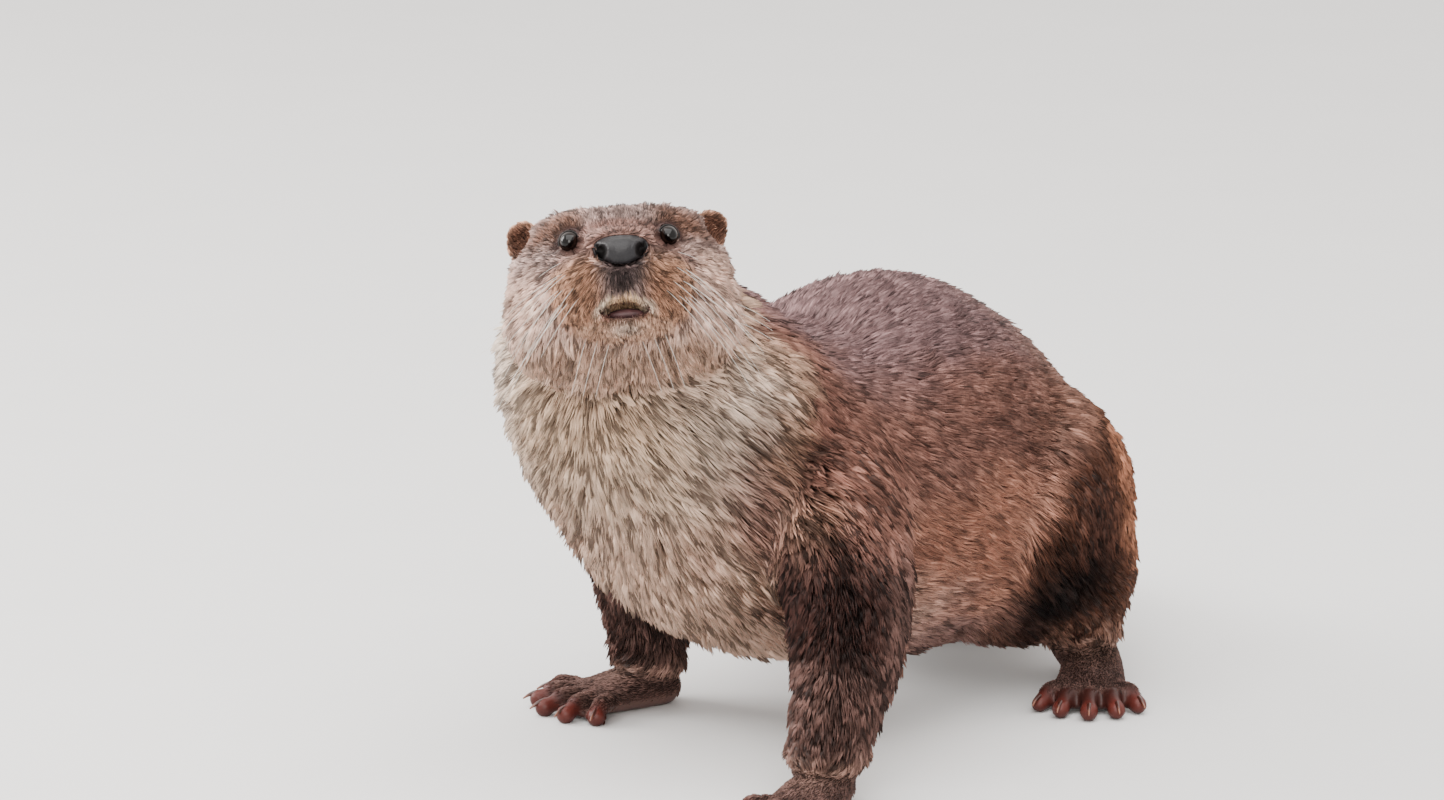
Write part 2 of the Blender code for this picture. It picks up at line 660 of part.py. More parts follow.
for name in FEET:
    for index in range(5):
        claw = new_object(f"claw_{name}_{index + 1}", *claw_shape(name, index))
        pocket = new_object("pocket", *claw_shape(name, index, CUT))
        boolean(body, pocket, "DIFFERENCE")
        remove(pocket)
        pieces.append((claw, "claw"))

for name, coat, frame, low, high in CUTS:
    pieces.append((part_off(body, name, frame, low, high), coat))
body.name = "rump"
pieces.append((body, "brown_coat"))

# the origin is the middle of the box's bottom
corners = np.array([tuple(vertex.co) for piece, _ in pieces for vertex in piece.data.vertices])
middle = (corners.min(axis=0) + corners.max(axis=0)) / 2
SHIFT = Vector((-middle[0], -middle[1], 0.0))
for piece, coat in pieces:
    piece.data.transform(Matrix.Translation(SHIFT))
    finish(piece, coat)
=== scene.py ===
"""A life-size Eurasian otter as a museum shows one: hide, coat, eyes, nose and claws over its solids."""

import math

import bmesh
import bpy
import numpy as np
from mathutils import Matrix, Vector
from mathutils.bvhtree import BVHTree
from mathutils.kdtree import KDTree


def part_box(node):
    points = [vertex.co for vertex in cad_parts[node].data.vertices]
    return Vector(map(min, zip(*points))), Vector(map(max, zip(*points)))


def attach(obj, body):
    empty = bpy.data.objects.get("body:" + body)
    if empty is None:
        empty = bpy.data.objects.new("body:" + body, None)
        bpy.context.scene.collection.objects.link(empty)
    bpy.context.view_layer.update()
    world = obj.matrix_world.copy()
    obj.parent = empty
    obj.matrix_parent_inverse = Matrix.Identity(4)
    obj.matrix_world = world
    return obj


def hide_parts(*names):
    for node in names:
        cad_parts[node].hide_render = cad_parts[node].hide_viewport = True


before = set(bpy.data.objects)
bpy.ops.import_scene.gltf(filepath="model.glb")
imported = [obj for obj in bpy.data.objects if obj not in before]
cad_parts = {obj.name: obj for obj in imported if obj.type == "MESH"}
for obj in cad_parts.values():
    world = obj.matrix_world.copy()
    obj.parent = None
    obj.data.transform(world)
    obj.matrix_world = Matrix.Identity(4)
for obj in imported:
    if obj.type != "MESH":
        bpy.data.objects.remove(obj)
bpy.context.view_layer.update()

# ---------------------------------------------------------------- the hide
# One skin from the nose to the tip of the tail, with no seam. It is the otter's own form, less the depth of
# the coat, so that the tips of the fur come out where the solids end. Eyes, nose pad and claws are let into
# it.

CELL = 0.0017  # edge of the cells that blend the body's tubes into one
SOLE_DEPTH = 0.0012  # how far the round soles would dip below the floor, where they press flat
EYE_RADIUS = 0.0062
# where the left eye, the left ear and the nose pad are, in the head's frame
EYE_PLACE = Vector((0.0258, -0.0495, 0.0190))
EAR_PLACE = Vector((0.0497, -0.0085, 0.0292))
NOSE_PLACE = Vector((0.0, -0.0888, 0.0036))
UP = Vector((0.0, 0.0, 1.0))


def local_frame(origin, yaw, pitch=0.0, roll=0.0):
    """A frame whose +X is the left, -Y is forward and +Z is up, turned by angles in degrees."""
    turn = Matrix.Rotation(math.radians(yaw), 4, "Z") @ Matrix.Rotation(math.radians(-pitch), 4, "X")
    return Matrix.Translation(origin) @ turn @ Matrix.Rotation(math.radians(roll), 4, "Y")


# The tables below are in a frame of their own. The left eye's ball tells where it stands in the model.
skull = local_frame((-0.0168, 0.0273, 0.2795), yaw=36.0, pitch=25.0, roll=-3.5)
eye_low, eye_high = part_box("eye_left")
STAND = Matrix.Translation((eye_low + eye_high) / 2 - skull @ EYE_PLACE)
HEAD = STAND @ skull

# x, y, z of the section's middle, half-width, half-height above, half-height below
SPINE = [
    (-0.0290, 0.0390, 0.2760, 0.049, 0.039, 0.040),  # inside the skull
    (-0.0360, 0.0600, 0.2550, 0.068, 0.050, 0.055),  # nape
    (-0.0390, 0.0790, 0.2270, 0.084, 0.063, 0.068),  # middle of the neck
    (-0.0340, 0.1020, 0.1950, 0.090, 0.074, 0.079),  # base of the neck
    (-0.0240, 0.1340, 0.1640, 0.090, 0.085, 0.093),  # shoulders
    (-0.0140, 0.1800, 0.1490, 0.089, 0.090, 0.102),  # ribs
    (-0.0080, 0.2300, 0.1450, 0.091, 0.103, 0.107),  # middle of the back
    (-0.0070, 0.2800, 0.1410, 0.092, 0.106, 0.112),  # loin, the top of the arch
    (-0.0080, 0.3280, 0.1280, 0.086, 0.091, 0.104),  # hips
    (-0.0160, 0.3750, 0.1050, 0.073, 0.073, 0.084),  # rump
    (-0.0230, 0.4150, 0.0900, 0.056, 0.056, 0.056),  # root of the tail
]
TAIL = [
    (-0.0200, 0.4000, 0.0980, 0.057, 0.057, 0.055),
    (-0.0400, 0.4600, 0.0620, 0.038, 0.038, 0.036),
    (-0.0800, 0.5020, 0.0360, 0.030, 0.029, 0.029),
    (-0.1330, 0.5330, 0.0215, 0.0245, 0.0225, 0.0225),
    (-0.1900, 0.5450, 0.0158, 0.0190, 0.0170, 0.0170),
    (-0.2450, 0.5350, 0.0113, 0.0140, 0.0125, 0.0125),
    (-0.2920, 0.5100, 0.0073, 0.0090, 0.0085, 0.0085),
    (-0.3150, 0.4900, 0.0043, 0.0050, 0.0052, 0.0052),
]
# distance forward of the ears, half-width, top, bottom, height of the widest line, squareness
HEAD_SECTIONS = [
    (-0.036, 0.0450, 0.0330, -0.0460, -0.004, 2.5),
    (-0.018, 0.0555, 0.0400, -0.0480, -0.004, 3.0),
    (0.000, 0.0585, 0.0425, -0.0465, -0.005, 3.3),
    (0.016, 0.0575, 0.0430, -0.0440, -0.007, 3.3),
    (0.030, 0.0530, 0.0405, -0.0420, -0.008, 3.0),
    (0.042, 0.0470, 0.0355, -0.0400, -0.008, 2.7),
    (0.052, 0.0405, 0.0300, -0.0385, -0.008, 2.4),
    (0.062, 0.0360, 0.0250, -0.0372, -0.009, 2.35),
    (0.072, 0.0335, 0.0208, -0.0350, -0.009, 2.35),
    (0.081, 0.0290, 0.0175, -0.0305, -0.006, 2.3),
    (0.088, 0.0225, 0.0150, -0.0190, -0.002, 2.2),
    (0.092, 0.0130, 0.0110, -0.0090, 0.001, 2.0),
]
# centre in the head's frame, radius, push: bulges and hollows that both sides of the face share
HEAD_FORMS = [
    ((0.0180, -0.0770, -0.0080), 0.0110, (0.0025, -0.0030, -0.0010)),  # whisker pad
    ((0.0270, -0.0460, 0.0310), 0.0090, (0.0015, -0.0010, 0.0020)),  # brow
    ((0.0270, -0.0560, 0.0190), 0.0090, (-0.0010, 0.0030, -0.0005)),  # eye socket
    ((0.0170, -0.0660, 0.0185), 0.0080, (-0.0020, 0.0, -0.0015)),  # side of the muzzle's bridge
    ((0.0480, -0.0180, -0.0180), 0.0170, (0.0030, 0.0, -0.0030)),  # cheek
    ((0.0, -0.0740, -0.0340), 0.0100, (0.0, -0.0030, -0.0010)),  # chin
]
# legs, from inside the body down: x, y, z, half-width, half-depth
FORELEG_LEFT = [
    (0.0360, 0.1500, 0.1720, 0.034, 0.045),
    (0.0600, 0.1280, 0.1400, 0.036, 0.044),
    (0.0800, 0.1060, 0.1080, 0.034, 0.036),
    (0.0880, 0.0920, 0.0760, 0.0290, 0.0300),
    (0.0910, 0.0760, 0.0480, 0.0235, 0.0225),
    (0.0925, 0.0650, 0.0240, 0.0195, 0.0160),
]
FORELEG_RIGHT = [
    (-0.0560, 0.1640, 0.1650, 0.032, 0.042),
    (-0.0750, 0.1570, 0.1320, 0.033, 0.040),
    (-0.0930, 0.1620, 0.1000, 0.032, 0.036),
    (-0.1020, 0.1710, 0.0720, 0.0275, 0.0290),
    (-0.1070, 0.1780, 0.0460, 0.0225, 0.0215),
    (-0.1110, 0.1830, 0.0240, 0.0190, 0.0160),
]
THIGH_LEFT = [
    (0.0300, 0.3650, 0.1300, 0.045, 0.055),
    (0.0560, 0.3450, 0.1200, 0.050, 0.058),
    (0.0740, 0.3220, 0.1020, 0.041, 0.046),
]
SHANK_LEFT = [
    (0.0740, 0.3240, 0.1050, 0.042, 0.047),
    (0.0720, 0.3500, 0.0720, 0.036, 0.038),
    (0.0650, 0.3680, 0.0440, 0.0255, 0.0265),
    (0.0630, 0.3730, 0.0240, 0.0190, 0.0200),
]
THIGH_RIGHT = [
    (-0.0400, 0.3700, 0.1250, 0.045, 0.055),
    (-0.0640, 0.3600, 0.1120, 0.048, 0.057),
    (-0.0810, 0.3400, 0.0960, 0.039, 0.044),
]
SHANK_RIGHT = [
    (-0.0820, 0.3400, 0.0980, 0.038, 0.043),
    (-0.0860, 0.3700, 0.0700, 0.028, 0.031),
    (-0.0840, 0.3950, 0.0430, 0.0205, 0.0225),
    (-0.0830, 0.4000, 0.0240, 0.0170, 0.0190),
]
# the loose skin between the belly and the knee
FOLD_LEFT = [
    (0.0350, 0.2800, 0.0850, 0.034, 0.040),
    (0.0500, 0.3080, 0.0740, 0.034, 0.042),
    (0.0620, 0.3360, 0.0700, 0.030, 0.038),
]
FOLD_RIGHT = [(-x - 0.016, y + 0.018, z, half, deep) for x, y, z, half, deep in FOLD_LEFT]
# root across the palm as a share of its half-width, splay in degrees, length
FRONT_TOES = [
    (-0.88, -44, 0.0220),
    (-0.46, -21, 0.0290),
    (0.0, 0, 0.0310),
    (0.46, 21, 0.0290),
    (0.88, 44, 0.0220),
]
HIND_TOES = [
    (-0.82, -24, 0.0290),
    (-0.44, -10, 0.0370),
    (0.0, 2, 0.0400),
    (0.44, 13, 0.0370),
    (0.82, 27, 0.0290),
]
# heel on the floor, yaw, length from the heel to the toes' roots, half-width of the palm, toes, toe radius
FEET = {
    "forefoot_left": ((0.0930, 0.0660, -SOLE_DEPTH), 14.0, 0.036, 0.0225, FRONT_TOES, 0.0052),
    "forefoot_right": ((-0.1090, 0.1850, -SOLE_DEPTH), -30.0, 0.036, 0.0225, FRONT_TOES, 0.0052),
    "hindfoot_left": ((0.0660, 0.3830, -SOLE_DEPTH), 30.0, 0.062, 0.0220, HIND_TOES, 0.0056),
    "hindfoot_right": ((-0.0820, 0.4080, -SOLE_DEPTH), -24.0, 0.062, 0.0220, HIND_TOES, 0.0056),
}


def along(rows, count):
    """Rows of numbers joined by a Catmull-Rom curve, read at count even steps of its length."""
    rows = np.array(rows, float)
    padded = np.vstack([2 * rows[0] - rows[1], rows, 2 * rows[-1] - rows[-2]])
    fine = []
    for p0, p1, p2, p3 in zip(padded, padded[1:], padded[2:], padded[3:]):
        for t in np.linspace(0, 1, 16, endpoint=False):
            bend = (2 * p0 - 5 * p1 + 4 * p2 - p3) * t**2 + (3 * p1 - p0 - 3 * p2 + p3) * t**3
            fine.append(0.5 * (2 * p1 + (p2 - p0) * t + bend))
    fine.append(rows[-1])
    fine = np.array(fine)
    length = np.concatenate([[0], np.cumsum(np.linalg.norm(np.diff(fine[:, :3], axis=0), axis=1))])
    at = np.linspace(0, length[-1], count)
    return np.stack([np.interp(at, length, column) for column in fine.T], axis=1)


def rounded_ends(path, steps):
    """The path with a dome of rings added at each end, so that the tube closes smoothly."""
    domes = []
    for end, before in ((0, 1), (-1, -2)):
        out = path[end, :3] - path[before, :3]
        out /= np.linalg.norm(out)
        reach = min(path[end, 3], path[end, 4])
        rings = []
        for angle in np.linspace(0, math.pi / 2, steps + 1)[1:]:
            ring = path[end].copy()
            ring[:3] += out * reach * math.sin(angle)
            ring[3:] *= max(math.cos(angle), 0.02)
            rings.append(ring)
        domes.append(rings)
    return np.vstack([domes[0][::-1], path, domes[1]])


def unit(vectors):
    """The vectors at length 1."""
    return vectors / np.maximum(np.linalg.norm(vectors, axis=1), 1e-9)[:, None]


def carried_sides(points, first_side):
    """Tangents, sides and ups along a path; the first side vector is carried along without twist."""
    tangents = unit(np.gradient(points, axis=0))
    side = np.array(first_side, float)
    sides = []
    for tangent in tangents:
        side = side - tangent * (side @ tangent)
        side /= np.linalg.norm(side)
        sides.append(side)
    sides = np.array(sides)
    return tangents, sides, np.cross(sides, tangents)


def ring_faces(rings, sides):
    """Quads between rings of points, and a fan over the first and the last ring."""
    faces = []
    for ring in range(rings - 1):
        for side in range(sides):
            a, b = ring * sides + side, ring * sides + (side + 1) % sides
            faces.append((a, b, b + sides, a + sides))
    faces.append(tuple(range(sides))[::-1])
    faces.append(tuple(range((rings - 1) * sides, rings * sides)))
    return faces


def ring_shares(sides, squareness):
    """Shares across and upward round a ring: an ellipse at squareness 2, and squarer above it."""
    angle = np.linspace(0, 2 * math.pi, sides, endpoint=False)
    return [np.sign(wave) * np.abs(wave) ** (2 / squareness) for wave in (np.cos(angle), np.sin(angle))]


def tube(rows, first_side=(1, 0, 0), count=28, sides=24, squareness=2.0, dome=4):
    """A closed tube. Each row is x, y, z, half-width, half-height, and optionally the half-height below."""
    path = rounded_ends(along(rows, count), dome)
    _, side_vectors, up_vectors = carried_sides(path[:, :3], first_side)
    across, upward = ring_shares(sides, squareness)
    height = np.where(upward > 0, path[:, 4:5], path[:, -1:]) * upward
    width = path[:, 3:4] * across
    points = path[:, None, :3] + side_vectors[:, None] * width[..., None]
    points = points + up_vectors[:, None] * height[..., None]
    return points.reshape(-1, 3), ring_faces(len(path), sides)


def moved(points, matrix):
    """The points in the world that the frame places them in."""
    matrix = np.array(matrix)
    return points @ matrix[:3, :3].T + matrix[:3, 3]


def placed(shape, matrix):
    """A shape's points moved into the world, with its faces."""
    return moved(shape[0], matrix), shape[1]


def distance(points, place):
    """How far each point is from one place."""
    return np.linalg.norm(points - np.array(place), axis=1)


def near(points, centre, radius):
    """A soft share: 1 at the centre, about a third at the radius, and soon nothing beyond it."""
    return np.exp(-((distance(points, centre) / radius) ** 2))


def head_shell(count=90, sides=72):
    """Skull, cheeks and muzzle, lofted through the sections and then shaped by the forms."""
    rows = []
    for forward, half, top, low, widest, squareness in HEAD_SECTIONS:
        rows.append((0.0, -forward, (top + low) / 2, half, top, low, widest, squareness))
    path = along(rows, count)
    half, top, low, widest, squareness = (path[:, column : column + 1] for column in (3, 4, 5, 6, 7))
    across, upward = ring_shares(sides, squareness)
    z = widest + np.where(upward > 0, top - widest, widest - low) * upward
    y = np.repeat(path[:, 1:2], sides, axis=1)
    points = np.stack([half * across, y, z], axis=-1).reshape(-1, 3)
    for centre, radius, push in HEAD_FORMS:
        share = 0.5 if centre[0] == 0 else 1.0
        for mirror in (1, -1):
            flip = np.array([mirror, 1, 1])
            strength = share * near(points, np.array(centre) * flip, radius)[:, None]
            points = points + strength * np.array(push) * flip
    return points, ring_faces(count, sides)


EAR_HALF = np.array([0.0095, 0.0050, 0.0105])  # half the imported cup's width, thickness and height
EAR_SIZE = Matrix.Diagonal((1.25, 1.10, 1.12, 1.0))  # how much larger the furred ear is than that cup
HOLLOW_DEPTH = 0.0068  # of the ear's cup as it is first shaped


def ear_frame(side):
    """The frame of the left ear, side 1, or of the right one, side -1."""
    place = local_frame(EAR_PLACE * Vector((side, 1, 1)), yaw=26 * side, pitch=-8, roll=24 * side)
    return HEAD @ place @ EAR_SIZE


def bowl(radial):
    """The share of its full depth that an ear's cup has, from 1 in the middle to 0 at the rim."""
    return np.clip(1 - (radial / 0.88) ** 2.5, 0, 1)


def ear_shell(side):
    """A small round cup: a flat ball whose front is pushed in."""
    half = EAR_HALF
    rows = [
        (0, 0, -half[2], 0.0030, half[1] * 0.8),
        (0, 0, 0, half[0], half[1]),
        (0, 0, half[2] * 0.7, half[0] * 0.7, half[1] * 0.8),
    ]
    points, faces = tube(rows, first_side=(1, 0, 0), count=20, sides=32, dome=6)
    radial = np.linalg.norm(points[:, [0, 2]] / half[[0, 2]], axis=1)
    points[:, 1] += np.where(points[:, 1] < 0, HOLLOW_DEPTH * bowl(radial), 0)
    return placed((points, faces), ear_frame(side))


def foot_frame(name):
    """A foot's frame: its heel on the floor, and its toes along -Y."""
    return STAND @ local_frame(*FEET[name][:2])


def toe_line(name, index):
    """Root and tip of a toe's middle line, in the foot's own frame."""
    _, _, palm, half, toes, radius = FEET[name]
    across, splay, length = toes[index]
    direction = Vector((math.sin(math.radians(splay)), -math.cos(math.radians(splay)), 0.0))
    root = Vector((across * half, -palm - 0.006 * (1 - across**2), radius * 1.6))
    return root, root + direction * length, direction


def foot_shapes(name):
    """The palm, five toes with their ball-like tips, and the webs between them."""
    _, _, palm, half, toes, radius = FEET[name]
    sole = [
        (0, 0.004, 0.0120, half * 0.66, 0.0120),
        (0, -palm * 0.45, 0.0110, half * 0.84, 0.0110),
        (0, -palm - 0.002, 0.0085, half * 0.98, 0.0080),
    ]
    shapes = [tube(sole, count=14, squareness=2.4)]
    for index in range(len(toes)):
        root, tip, direction = toe_line(name, index)
        back = root - direction * 0.010
        knuckle = root.lerp(tip, 0.45) + UP * 0.0030
        ball = tip - direction * radius - UP * radius * 0.45
        rows = [
            (*back, radius, radius),
            (*knuckle, radius * 0.92, radius),
            (*root.lerp(tip, 0.62), radius * 0.84, radius * 0.86),
            (*ball, radius * 1.14, radius * 1.14),
        ]
        shapes.append(tube(rows, first_side=(-direction.y, direction.x, 0), count=16, sides=16))
    for index in range(len(toes) - 1):
        one, two = toe_line(name, index), toe_line(name, index + 1)
        rows = []
        for share in (-0.2, 0.2, 0.55):
            a, b = one[0].lerp(one[1], share), two[0].lerp(two[1], share)
            middle = (a + b) / 2
            rows.append((middle.x, middle.y, radius * 0.95, (a - b).length / 2, 0.0023))
        shapes.append(tube(rows, first_side=(one[0] - two[0]).normalized(), count=8, sides=14))
    return [placed(shape, foot_frame(name)) for shape in shapes]


def joined(shapes):
    """Several shapes as one list of points and one of faces."""
    points, faces = [], []
    for shape_points, shape_faces in shapes:
        start = len(points)
        points.extend(shape_points)
        faces.extend(tuple(index + start for index in face) for face in shape_faces)
    return points, faces


def new_object(name, points, faces):
    """A mesh object in the scene, with its faces turned outward."""
    mesh = bpy.data.meshes.new(name)
    mesh.from_pydata([tuple(p) for p in points], [], faces)
    made = bpy.data.objects.new(name, mesh)
    bpy.context.scene.collection.objects.link(made)
    work = bmesh.new()
    work.from_mesh(mesh)
    bmesh.ops.recalc_face_normals(work, faces=work.faces)
    work.to_mesh(mesh)
    work.free()
    return made


def with_modifier(made, kind, **settings):
    """The object with one modifier added and turned into mesh."""
    modifier = made.modifiers.new(kind.lower(), kind)
    for setting, value in settings.items():
        setattr(modifier, setting, value)
    graph = bpy.context.evaluated_depsgraph_get()
    graph.update()
    mesh = bpy.data.meshes.new_from_object(made.evaluated_get(graph))
    made.modifiers.clear()
    made.data = mesh
    return made


def points_of(mesh):
    """The mesh's points as rows of x, y and z."""
    points = np.empty(len(mesh.vertices) * 3)
    mesh.vertices.foreach_get("co", points)
    return points.reshape(-1, 3)


def set_points(mesh, points):
    """Moves the mesh's points to these places."""
    mesh.vertices.foreach_set("co", points.astype(np.float32).ravel())
    mesh.update()


def weigh(made, name, weight):
    """A vertex group of this weight, in steps of a twentieth."""
    group = made.vertex_groups.new(name=name)
    level = np.round(np.clip(weight, 0, 1) * 20).astype(int)
    for step in range(1, 21):
        group.add(np.flatnonzero(level == step).tolist(), step / 20, "REPLACE")


shapes = [placed(tube(SPINE, count=90, sides=64), STAND), placed(tube(TAIL, count=90, sides=40), STAND)]
shapes.append(placed(head_shell(), HEAD))
shapes.extend(ear_shell(side) for side in (1, -1))
FORELEGS, THIGHS = [FORELEG_LEFT, FORELEG_RIGHT], [THIGH_LEFT, THIGH_RIGHT]
SHANKS, FOLDS = [SHANK_LEFT, SHANK_RIGHT], [FOLD_LEFT, FOLD_RIGHT]
for leg in FORELEGS + THIGHS + SHANKS + FOLDS:
    shapes.append(placed(tube(leg, count=30, sides=32), STAND))
for name in FEET:
    shapes.extend(foot_shapes(name))
hide = new_object("hide", *joined(shapes))
with_modifier(hide, "REMESH", mode="VOXEL", voxel_size=CELL)

# Where a leg, the tail or the neck grows out of the trunk, its edge is smoothed away: centre and radius.
JOINS = [
    ((0.055, 0.135, 0.135), 0.050),
    ((-0.074, 0.160, 0.128), 0.045),
    ((0.065, 0.330, 0.110), 0.070),
    ((-0.072, 0.350, 0.105), 0.070),
    ((-0.022, 0.425, 0.090), 0.060),
    ((-0.030, 0.070, 0.245), 0.045),
]
points = points_of(hide.data)
weigh(hide, "blend", sum(near(points, STAND @ Vector(centre), radius) for centre, radius in JOINS))
with_modifier(hide, "SMOOTH", factor=0.5, iterations=500, vertex_group="blend")
with_modifier(hide, "SMOOTH", factor=0.5, iterations=5)

# The mouth stands a little open: a lens, arched above and hanging below.
# x, y, z of the section's middle, half-width, height above, height below
MOUTH = [
    (0, -0.0580, -0.0262, 0.0100, 0.0012, 0.0012),
    (0, -0.0660, -0.0264, 0.0120, 0.0034, 0.0030),
    (0, -0.0780, -0.0270, 0.0132, 0.0048, 0.0042),
    (0, -0.1000, -0.0285, 0.0136, 0.0056, 0.0046),
]
lens = tube(MOUTH, first_side=(-1, 0, 0), count=10, sides=40, squareness=2.1, dome=3)
gape = new_object("gape", *placed(lens, HEAD))
with_modifier(hide, "BOOLEAN", object=gape, operation="DIFFERENCE")
bpy.data.objects.remove(gape)


def head_side(points):
    """The points in the head's frame, with the right half folded over on the left."""
    local = moved(points, HEAD.inverted())
    local[:, 0] = np.abs(local[:, 0])
    return local


def ease(value, low, high):
    """0 below low, 1 above high, and a smooth rise between; low may be the greater."""
    share = np.clip((value - low) / (high - low), 0, 1)
    return share * share * (3 - 2 * share)


# Only head, ears and feet keep their finest cells. Then the face is cut finer still, for lids and lips.
points = points_of(hide.data)
local = head_side(points)
fine = near(local, (0, -0.035, 0.0), 0.075) + ease(points[:, 2], 0.035, 0.020)
weigh(hide, "plain", np.clip(1.15 - 1.6 * fine, 0, 1))
with_modifier(hide, "DECIMATE", ratio=0.35, vertex_group="plain", vertex_group_factor=1.0)
work = bmesh.new()
work.from_mesh(hide.data)
local = head_side(np.array([vertex.co for vertex in work.verts]))
face = np.linalg.norm((local - (0.012, -0.072, 0.0)) / (0.034, 0.034, 0.042), axis=1) < 1
work.verts.index_update()
edges = [edge for edge in work.edges if all(face[vertex.index] for vertex in edge.verts)]
bmesh.ops.subdivide_edges(work, edges=edges, cuts=1, use_grid_fill=True)
bmesh.ops.triangulate(work, faces=work.faces)
work.to_mesh(hide.data)
work.free()
with_modifier(hide, "SMOOTH", factor=0.4, iterations=2)


EYE_OUT = 0.0010  # how far the wet ball stands forward of its packed place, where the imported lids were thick


def eye_frame(side):
    """The frame of the left eye, side 1, or of the right one; it looks along -Y."""
    frame_there = HEAD @ local_frame(EYE_PLACE * Vector((side, 1, 1)), yaw=22 * side, pitch=-2)
    return frame_there @ Matrix.Translation((0, -EYE_OUT, 0))


def opening(turn):
    """Degrees from the eye's axis to the lids' edge; turn goes from outward over the top to the nose."""
    return 74 - 4 * np.cos(turn) ** 2 + 4 * np.clip(-np.cos(turn + 0.5), 0, 1) ** 10


# Before the eye the muzzle has a shallow trough, along which the eye looks forward past the whisker pad.
LOOK = np.array([-0.370, -0.907, -0.197])  # inward, forward and down
TROUGH = 0.0076  # half its width, a little more than the ball's


def clear_of_eyes(points, room=0.0):
    """Points before an eye drawn back out of its trough and out of a shallow cone round the lids."""
    for side in (1, -1):
        local = moved(points, eye_frame(side).inverted())
        look = LOOK * (side, 1, 1)
        ahead = local @ look
        off = local - ahead[:, None] * look
        gap = np.linalg.norm(off, axis=1)
        wider = (gap**6 + (TROUGH - room) ** 6) ** (1 / 6) - gap
        wider *= ease(ahead, 0.002, 0.007) * ease(ahead, 0.044, 0.034)
        local += off * (wider / gap)[:, None]
        beside = np.hypot(local[:, 0], local[:, 2])
        before = np.clip(-local[:, 1] - 0.0020 - room - 0.75 * (beside - EYE_RADIUS), 0, None)
        local[:, 1] += before * (np.abs(local[:, 1]) < 0.020) * ease(beside, 0.0165, 0.0110)
        points = moved(local, eye_frame(side))
    return points


# The lids fit closely round the ball; inside their opening the hide drops behind it.
LID_REACH = 26.0  # degrees over which the hide round the eye is drawn to the ball
points = clear_of_eyes(points_of(hide.data))
for side in (1, -1):
    local = moved(points, eye_frame(side).inverted())
    reach = np.linalg.norm(local, axis=1)
    close = np.flatnonzero(reach < 0.013)
    local, reach = local[close], reach[close]
    off_axis = np.degrees(np.arccos(np.clip(-local[:, 1] / reach, -1, 1)))
    lid = off_axis - opening(np.arctan2(local[:, 2], local[:, 0] * side))
    rim = EYE_RADIUS + 0.0004 + 0.0005 * np.exp(-(((lid - 8) / 10) ** 2))
    outside = np.maximum(reach, rim * (1 - 0.45 * ease(lid, 10, 45)))
    drawn = outside + (np.minimum(outside, rim) - outside) * np.exp(-((lid / LID_REACH) ** 2))
    wanted = np.where(lid < 0, np.minimum(reach, EYE_RADIUS - 0.0012), drawn)
    points[close] = moved(local * (wanted / reach)[:, None], eye_frame(side))


def from_cup(local):
    """How far points in an ear's frame are from its middle, as a share of the way to the rim."""
    return np.hypot(local[:, 0] / EAR_HALF[0], local[:, 2] / EAR_HALF[2])


# The ear's cup is open to the front, also where it meets the skull.
CUP_DEPTH = 0.0052
for side in (1, -1):
    local = moved(points, ear_frame(side).inverted())
    radial = from_cup(local)
    cup = CUP_DEPTH * bowl(radial) - EAR_HALF[1] * np.sqrt(np.clip(1 - radial**2, 0, 1))
    in_front = (local[:, 1] < cup) & (local[:, 1] > -0.016)
    local[:, 1] += in_front * ease(radial, 0.98, 0.80) * (cup - local[:, 1])
    points = moved(local, ear_frame(side))

# Behind the nose pad the hide drops in, so that the pad stands on the muzzle's tip as a cap.
NOSE_FRAME = HEAD @ Matrix.Translation(NOSE_PLACE) @ Matrix.Rotation(math.radians(8), 4, "X")
NOSE_HALF, NOSE_HIGH = 0.0150, 0.00825  # half the pad's width and half its height
PAD_SEAT = 0.004  # how far behind the pad's middle the hide lies
local = moved(points, NOSE_FRAME.inverted())
outline = (np.abs(local[:, 0]) / NOSE_HALF) ** 2.5 + (np.abs(local[:, 2]) / NOSE_HIGH) ** 2.5
under_pad = ease(outline, 1.15, 0.75) * (local[:, 1] < PAD_SEAT) * (local[:, 1] > -0.03)
local[:, 1] += under_pad * (PAD_SEAT - local[:, 1])
points = moved(local, NOSE_FRAME)
points[:, 2] = np.maximum(points[:, 2], 0.0)
set_points(hide.data, points)


# How far each point lies from the middle line of each limb, as a share of the limb's thickness.
LIMBS = {
    "trunk": SPINE,
    "tail": TAIL,
    "foreleg_left": FORELEG_LEFT,
    "foreleg_right": FORELEG_RIGHT,
    "hindleg_left": THIGH_LEFT + SHANK_LEFT[1:],
    "hindleg_right": THIGH_RIGHT + SHANK_RIGHT[1:],
}
LIMB_STEPS = 60


class Limb:
    """A limb's middle line, and where points stand round it."""

    def __init__(self, rows):
        self.path = along(rows, LIMB_STEPS)
        self.middle = moved(self.path[:, :3], STAND)
        self.radius = self.path[:, 3:].mean(axis=1)
        self.spacing = np.linalg.norm(self.middle[1] - self.middle[0])
        self.tangent, self.side, self.up = carried_sides(self.middle, (1, 0, 0))

    def measure(self, points):
        """Distance over thickness, share of the length, share up, share to the left, and direction."""
        gap = np.stack([distance(points, middle) for middle in self.middle], axis=1) / self.radius
        index = gap.argmin(axis=1)
        out = unit(points - self.middle[index])
        up = (out * self.up[index]).sum(axis=1)
        side = (out * self.side[index]).sum(axis=1)
        on = ((points - self.middle[index]) * self.tangent[index]).sum(axis=1) / self.spacing
        return gap.min(axis=1), (index + on) / (LIMB_STEPS - 1), up, side, self.tangent[index]


